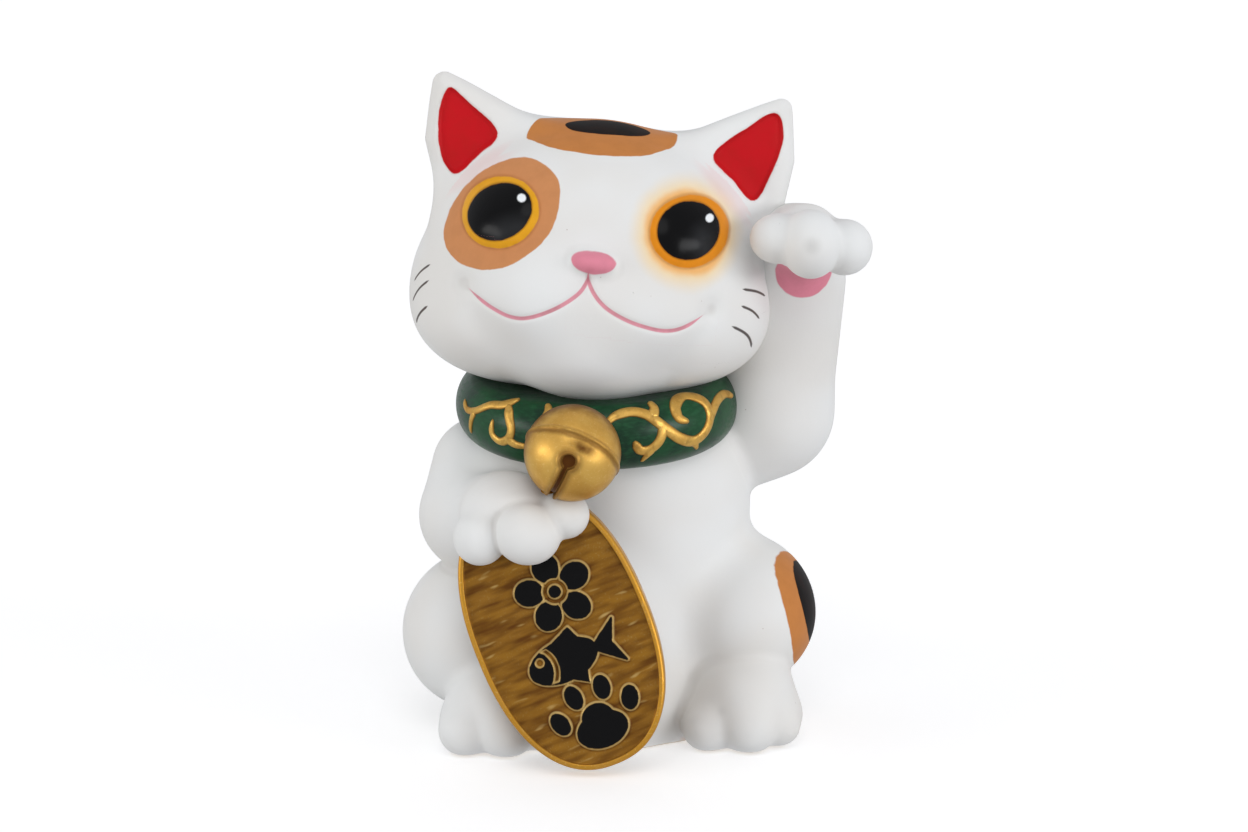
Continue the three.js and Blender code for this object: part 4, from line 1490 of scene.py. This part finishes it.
def gouges(u, v):
    """Depth of the broad soft chisel cuts that run across the plate."""
    draw = np.random.default_rng(GOUGES["seed"])
    field = np.array(GOUGES["field"])
    depth = np.zeros_like(u)
    for _ in range(GOUGES["count"]):
        at = draw.uniform(-field, field)
        half_long, half_wide = draw.uniform(*GOUGES["half_long"]), draw.uniform(*GOUGES["half_wide"])
        deep, lean = draw.uniform(*GOUGES["depth"]), draw.normal(0.0, GOUGES["lean"])
        du, dv = u - at[0], v - at[1] - lean * (u - at[0])
        depth = np.maximum(depth, deep * np.exp(-((du / half_long) ** 4) - (dv / half_wide) ** 2))
    return depth


RIM_FROM = 0.9  # share of the half size from which the rings lie close


def koban_rings():
    """Shares of the half size at which the plate's rings lie: even on the face, close at the rim."""
    face = np.linspace(0, RIM_FROM, 88)[1:]
    return np.concatenate((face, np.linspace(RIM_FROM, 1, 30)[1:]))


def koban_outline(spokes):
    """Points round the plate's edge, and how far the edge's tangent at each is from the middle."""
    turn = np.linspace(0, 2 * math.pi, spokes, endpoint=False)
    size = np.array((KOBAN["half_width"], KOBAN["half_height"]))
    circle = np.stack((np.cos(turn), np.sin(turn)), 1)
    edge = np.sign(circle) * np.abs(circle) ** (2 / KOBAN["fullness"])
    across = np.sign(edge) * np.abs(edge) ** (KOBAN["fullness"] - 1) / size
    edge = edge * size
    return edge, (edge * across).sum(1) / length(across)


def koban_front(gap, u, v):
    """How far the front stands out from the plate's mid plane, and the marks on it."""
    size = KOBAN_SECTION
    thick = size["half_thickness"]
    rim = smooth_step(gap, size["rim"] + size["rim_soft"], size["rim"] - size["rim_soft"])
    round_off = np.clip(1 - gap / size["round_off"], 0, 1)
    motif, cut = motif_distance(u, v), gouges(u, v)
    raised = smooth_step(-motif, *size["motif_edge"])
    face = thick - size["recess"] - cut * (1 - raised) + size["motif"] * raised
    top = thick - size["rounding"] * (1 - np.sqrt(1 - 0.999 * round_off**2))
    marks = {"motif": motif, "cut": cut, "rim": gap, "plate": np.stack((u, v), 1) * MM}
    return face * (1 - rim) + top * rim, marks


def make_koban():
    spokes = 480
    rings = koban_rings()
    edge, tangent_gap = koban_outline(spokes)
    u, v = np.vstack(((0, 0), (rings[:, None, None] * edge).reshape(-1, 2))).T
    gap = np.concatenate(([FAR], ((1 - rings)[:, None] * tangent_gap).ravel()))
    out, marks = koban_front(gap, u, v)
    back_out = KOBAN_SECTION["half_thickness"] - smooth_step(gap, KOBAN_SECTION["round_off"], 0)
    sides = np.vstack((np.stack((u, -out, v), 1), np.stack((u, back_out, v), 1)))
    front = np.vstack((fan_faces(np.arange(1, spokes + 1), 0), ring_faces(len(rings), spokes, 1)))
    last = len(u) - spokes + np.arange(spokes)
    walls = wall_faces(last, np.roll(last, -1), len(u))
    faces = np.vstack((front, front[:, ::-1] + len(u), walls))
    points = sides @ turned(*KOBAN["turn"]).T + np.array(KOBAN["at"])
    marks = {name: np.concatenate((values, values)) for name, values in marks.items()}
    piece = new_piece("gilt_koban", points, faces, None, marks)
    dress(piece, koban_material(), ["koban"])


# ---------- Base stopper ----------


def stopper_form():
    """A rubber bung: a flange with a finger bar in its dish, and a ribbed cup that grips the vent."""
    size = STOPPER
    low, high = (corner[2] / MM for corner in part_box("base_stopper"))
    lip, flange_top = size["lip"], RECESS["depth"] - size["clearance"]
    flange = upright(STOPPER_AT, size["flange"] - lip, low + lip, flange_top - lip)
    cup = upright(STOPPER_AT, size["stem"] - size["wall"], flange_top + size["floor"], 2 * high)
    dish = upright(STOPPER_AT, size["dish"], BELOW, low + size["dish_depth"])

    def stem(around, z):
        rise = np.clip((z - flange_top) / (high - flange_top), 0, 1)
        ribs = sum(np.exp(-(((z - at) / size["rib_half"]) ** 2)) for at in size["ribs_at"])
        radius = size["stem"] + (size["stem_tip"] - size["stem"]) * rise + (ribs - 1) * size["rib"]
        wall = np.max([around - radius, 1.0 - z, z - high], axis=0)
        return soft_max(wall, z - high + 0.1, 0.8)

    def field(points):
        x, y, z = np.moveaxis(points, -1, 0)
        around = np.hypot(x - STOPPER_AT[0], y - STOPPER_AT[1])
        whole = soft_min(flange(points) - lip, stem(around, z), 0.6)
        bar = np.maximum(np.abs(y - STOPPER_AT[1]) - size["bar_half"], low + size["bar_depth"] - z)
        whole = soft_max(whole, -np.maximum(dish(points), -bar), 0.5)
        ring = np.hypot(around - size["groove"], z - low) - size["groove_half"]
        return soft_max(soft_max(whole, -ring, 0.3), -cup(points), 0.5)

    return field


def make_stopper():
    form = stopper_form()
    points, faces = skin(form, *region("base_stopper"), STOPPER_CELL)
    piece = new_piece("rubber_base_stopper", points, faces, unit_slope(form, points))
    dress(piece, rubber_material(), ["base_stopper"], "stopper")


# ---------- Studio ----------


FLOOR_GREY = srgb(226, 226, 226)
FLOOR_HALF = 20.0  # in metres
FLOOR_CLEARANCE = 0.006  # the floor lets light through to undersides nearer than this, in metres
FLOOR_LIFT = 0.42  # how much whiter the floor looks to the camera than its light makes it
# Each light: the way it travels, its strength, its spread in degrees and its colour.
LIGHTS = {
    "left": ((0.93, 0.36, 0), 1.45, 34, (1.0, 0.99, 0.96)),
    "right": ((-0.85, 0.53, 0), 2.0, 34, (0.97, 0.98, 1.0)),
    "above": ((0, 0.64, -0.77), 0.55, 34, (1.0, 1.0, 1.0)),
}
SURROUND = 0.62
SURROUND_WHITE = srgb(250, 251, 255)


def make_floor():
    """A plain pale floor, lifted to white for the camera, clear from below and to undersides."""
    half = FLOOR_HALF
    corners = [(-half, -half, 0), (half, -half, 0), (half, half, 0), (-half, half, 0)]
    mesh = bpy.data.meshes.new("floor")
    mesh.from_pydata(corners, [], [(0, 1, 2, 3)])
    g = Graph("pale_floor", Base_Color=FLOOR_GREY, Roughness=0.9, Specular_IOR_Level=0.1)
    path = g.node("LightPath").outputs
    lift = g.times(path["Is Camera Ray"], FLOOR_LIFT)
    near = g.math("LESS_THAN", path["Ray Length"], FLOOR_CLEARANCE)
    clear = g.math("MAXIMUM", g.node("NewGeometry").outputs["Backfacing"], near)
    shaders = {1: g.shader.outputs[0], 2: g.node("BsdfTransparent").outputs[0]}
    g.put(g.output, g.node("MixShader", {0: clear, **shaders}).outputs[0])
    mesh.materials.append(g.finish(Emission_Color=srgb(255, 255, 255), Emission_Strength=lift))
    added("floor", mesh)


def make_world():
    """Soft light from all round, and a white backdrop where the camera looks past the floor."""
    world = bpy.data.worlds.new("studio")
    bpy.context.scene.world = world
    world.use_nodes = True
    nodes, links = world.node_tree.nodes, world.node_tree.links
    background = nodes["Background"]
    background.inputs["Color"].default_value = SURROUND_WHITE
    path, strength = nodes.new("ShaderNodeLightPath"), nodes.new("ShaderNodeMix")
    strength.inputs[2].default_value, strength.inputs[3].default_value = SURROUND, 1.0
    links.new(path.outputs["Is Camera Ray"], strength.inputs[0])
    links.new(strength.outputs[0], background.inputs["Strength"])


def aimed(name, data, direction):
    """A new lamp or camera that points along a direction."""
    thing = added(name, data)
    thing.rotation_euler = Vector(direction).to_track_quat("-Z", "Y").to_euler()
    return thing


def sun(name, direction, strength, spread, colour):
    """Even light that travels along a direction, soft by its spread in degrees."""
    light = bpy.data.lights.new(name, "SUN")
    light.energy, light.angle, light.color = strength, math.radians(spread), colour
    aimed(name, light, direction)


def make_lights():
    """Soft light from both sides and from above, and an even surround."""
    for name, settings in LIGHTS.items():
        sun(name, *settings)
    make_world()


def make_camera():
    target = (np.array(CAMERA["target"]) + OFFSET) * MM
    lift = math.radians(CAMERA["elevation"])
    away = np.array((0, -math.cos(lift), math.sin(lift))) * CAMERA["distance"] * MM
    data = bpy.data.cameras.new("camera")
    data.lens, data.sensor_width, data.sensor_fit = CAMERA["lens"], CAMERA["sensor"], "HORIZONTAL"
    camera = aimed("camera", data, -away)
    camera.location = target + away
    bpy.context.scene.camera = camera


make_white_pieces()
make_head()
make_collar()
make_bell()
make_koban()
make_stopper()
make_floor()
make_lights()
make_camera()
bpy.context.scene.view_settings.view_transform = "Standard"
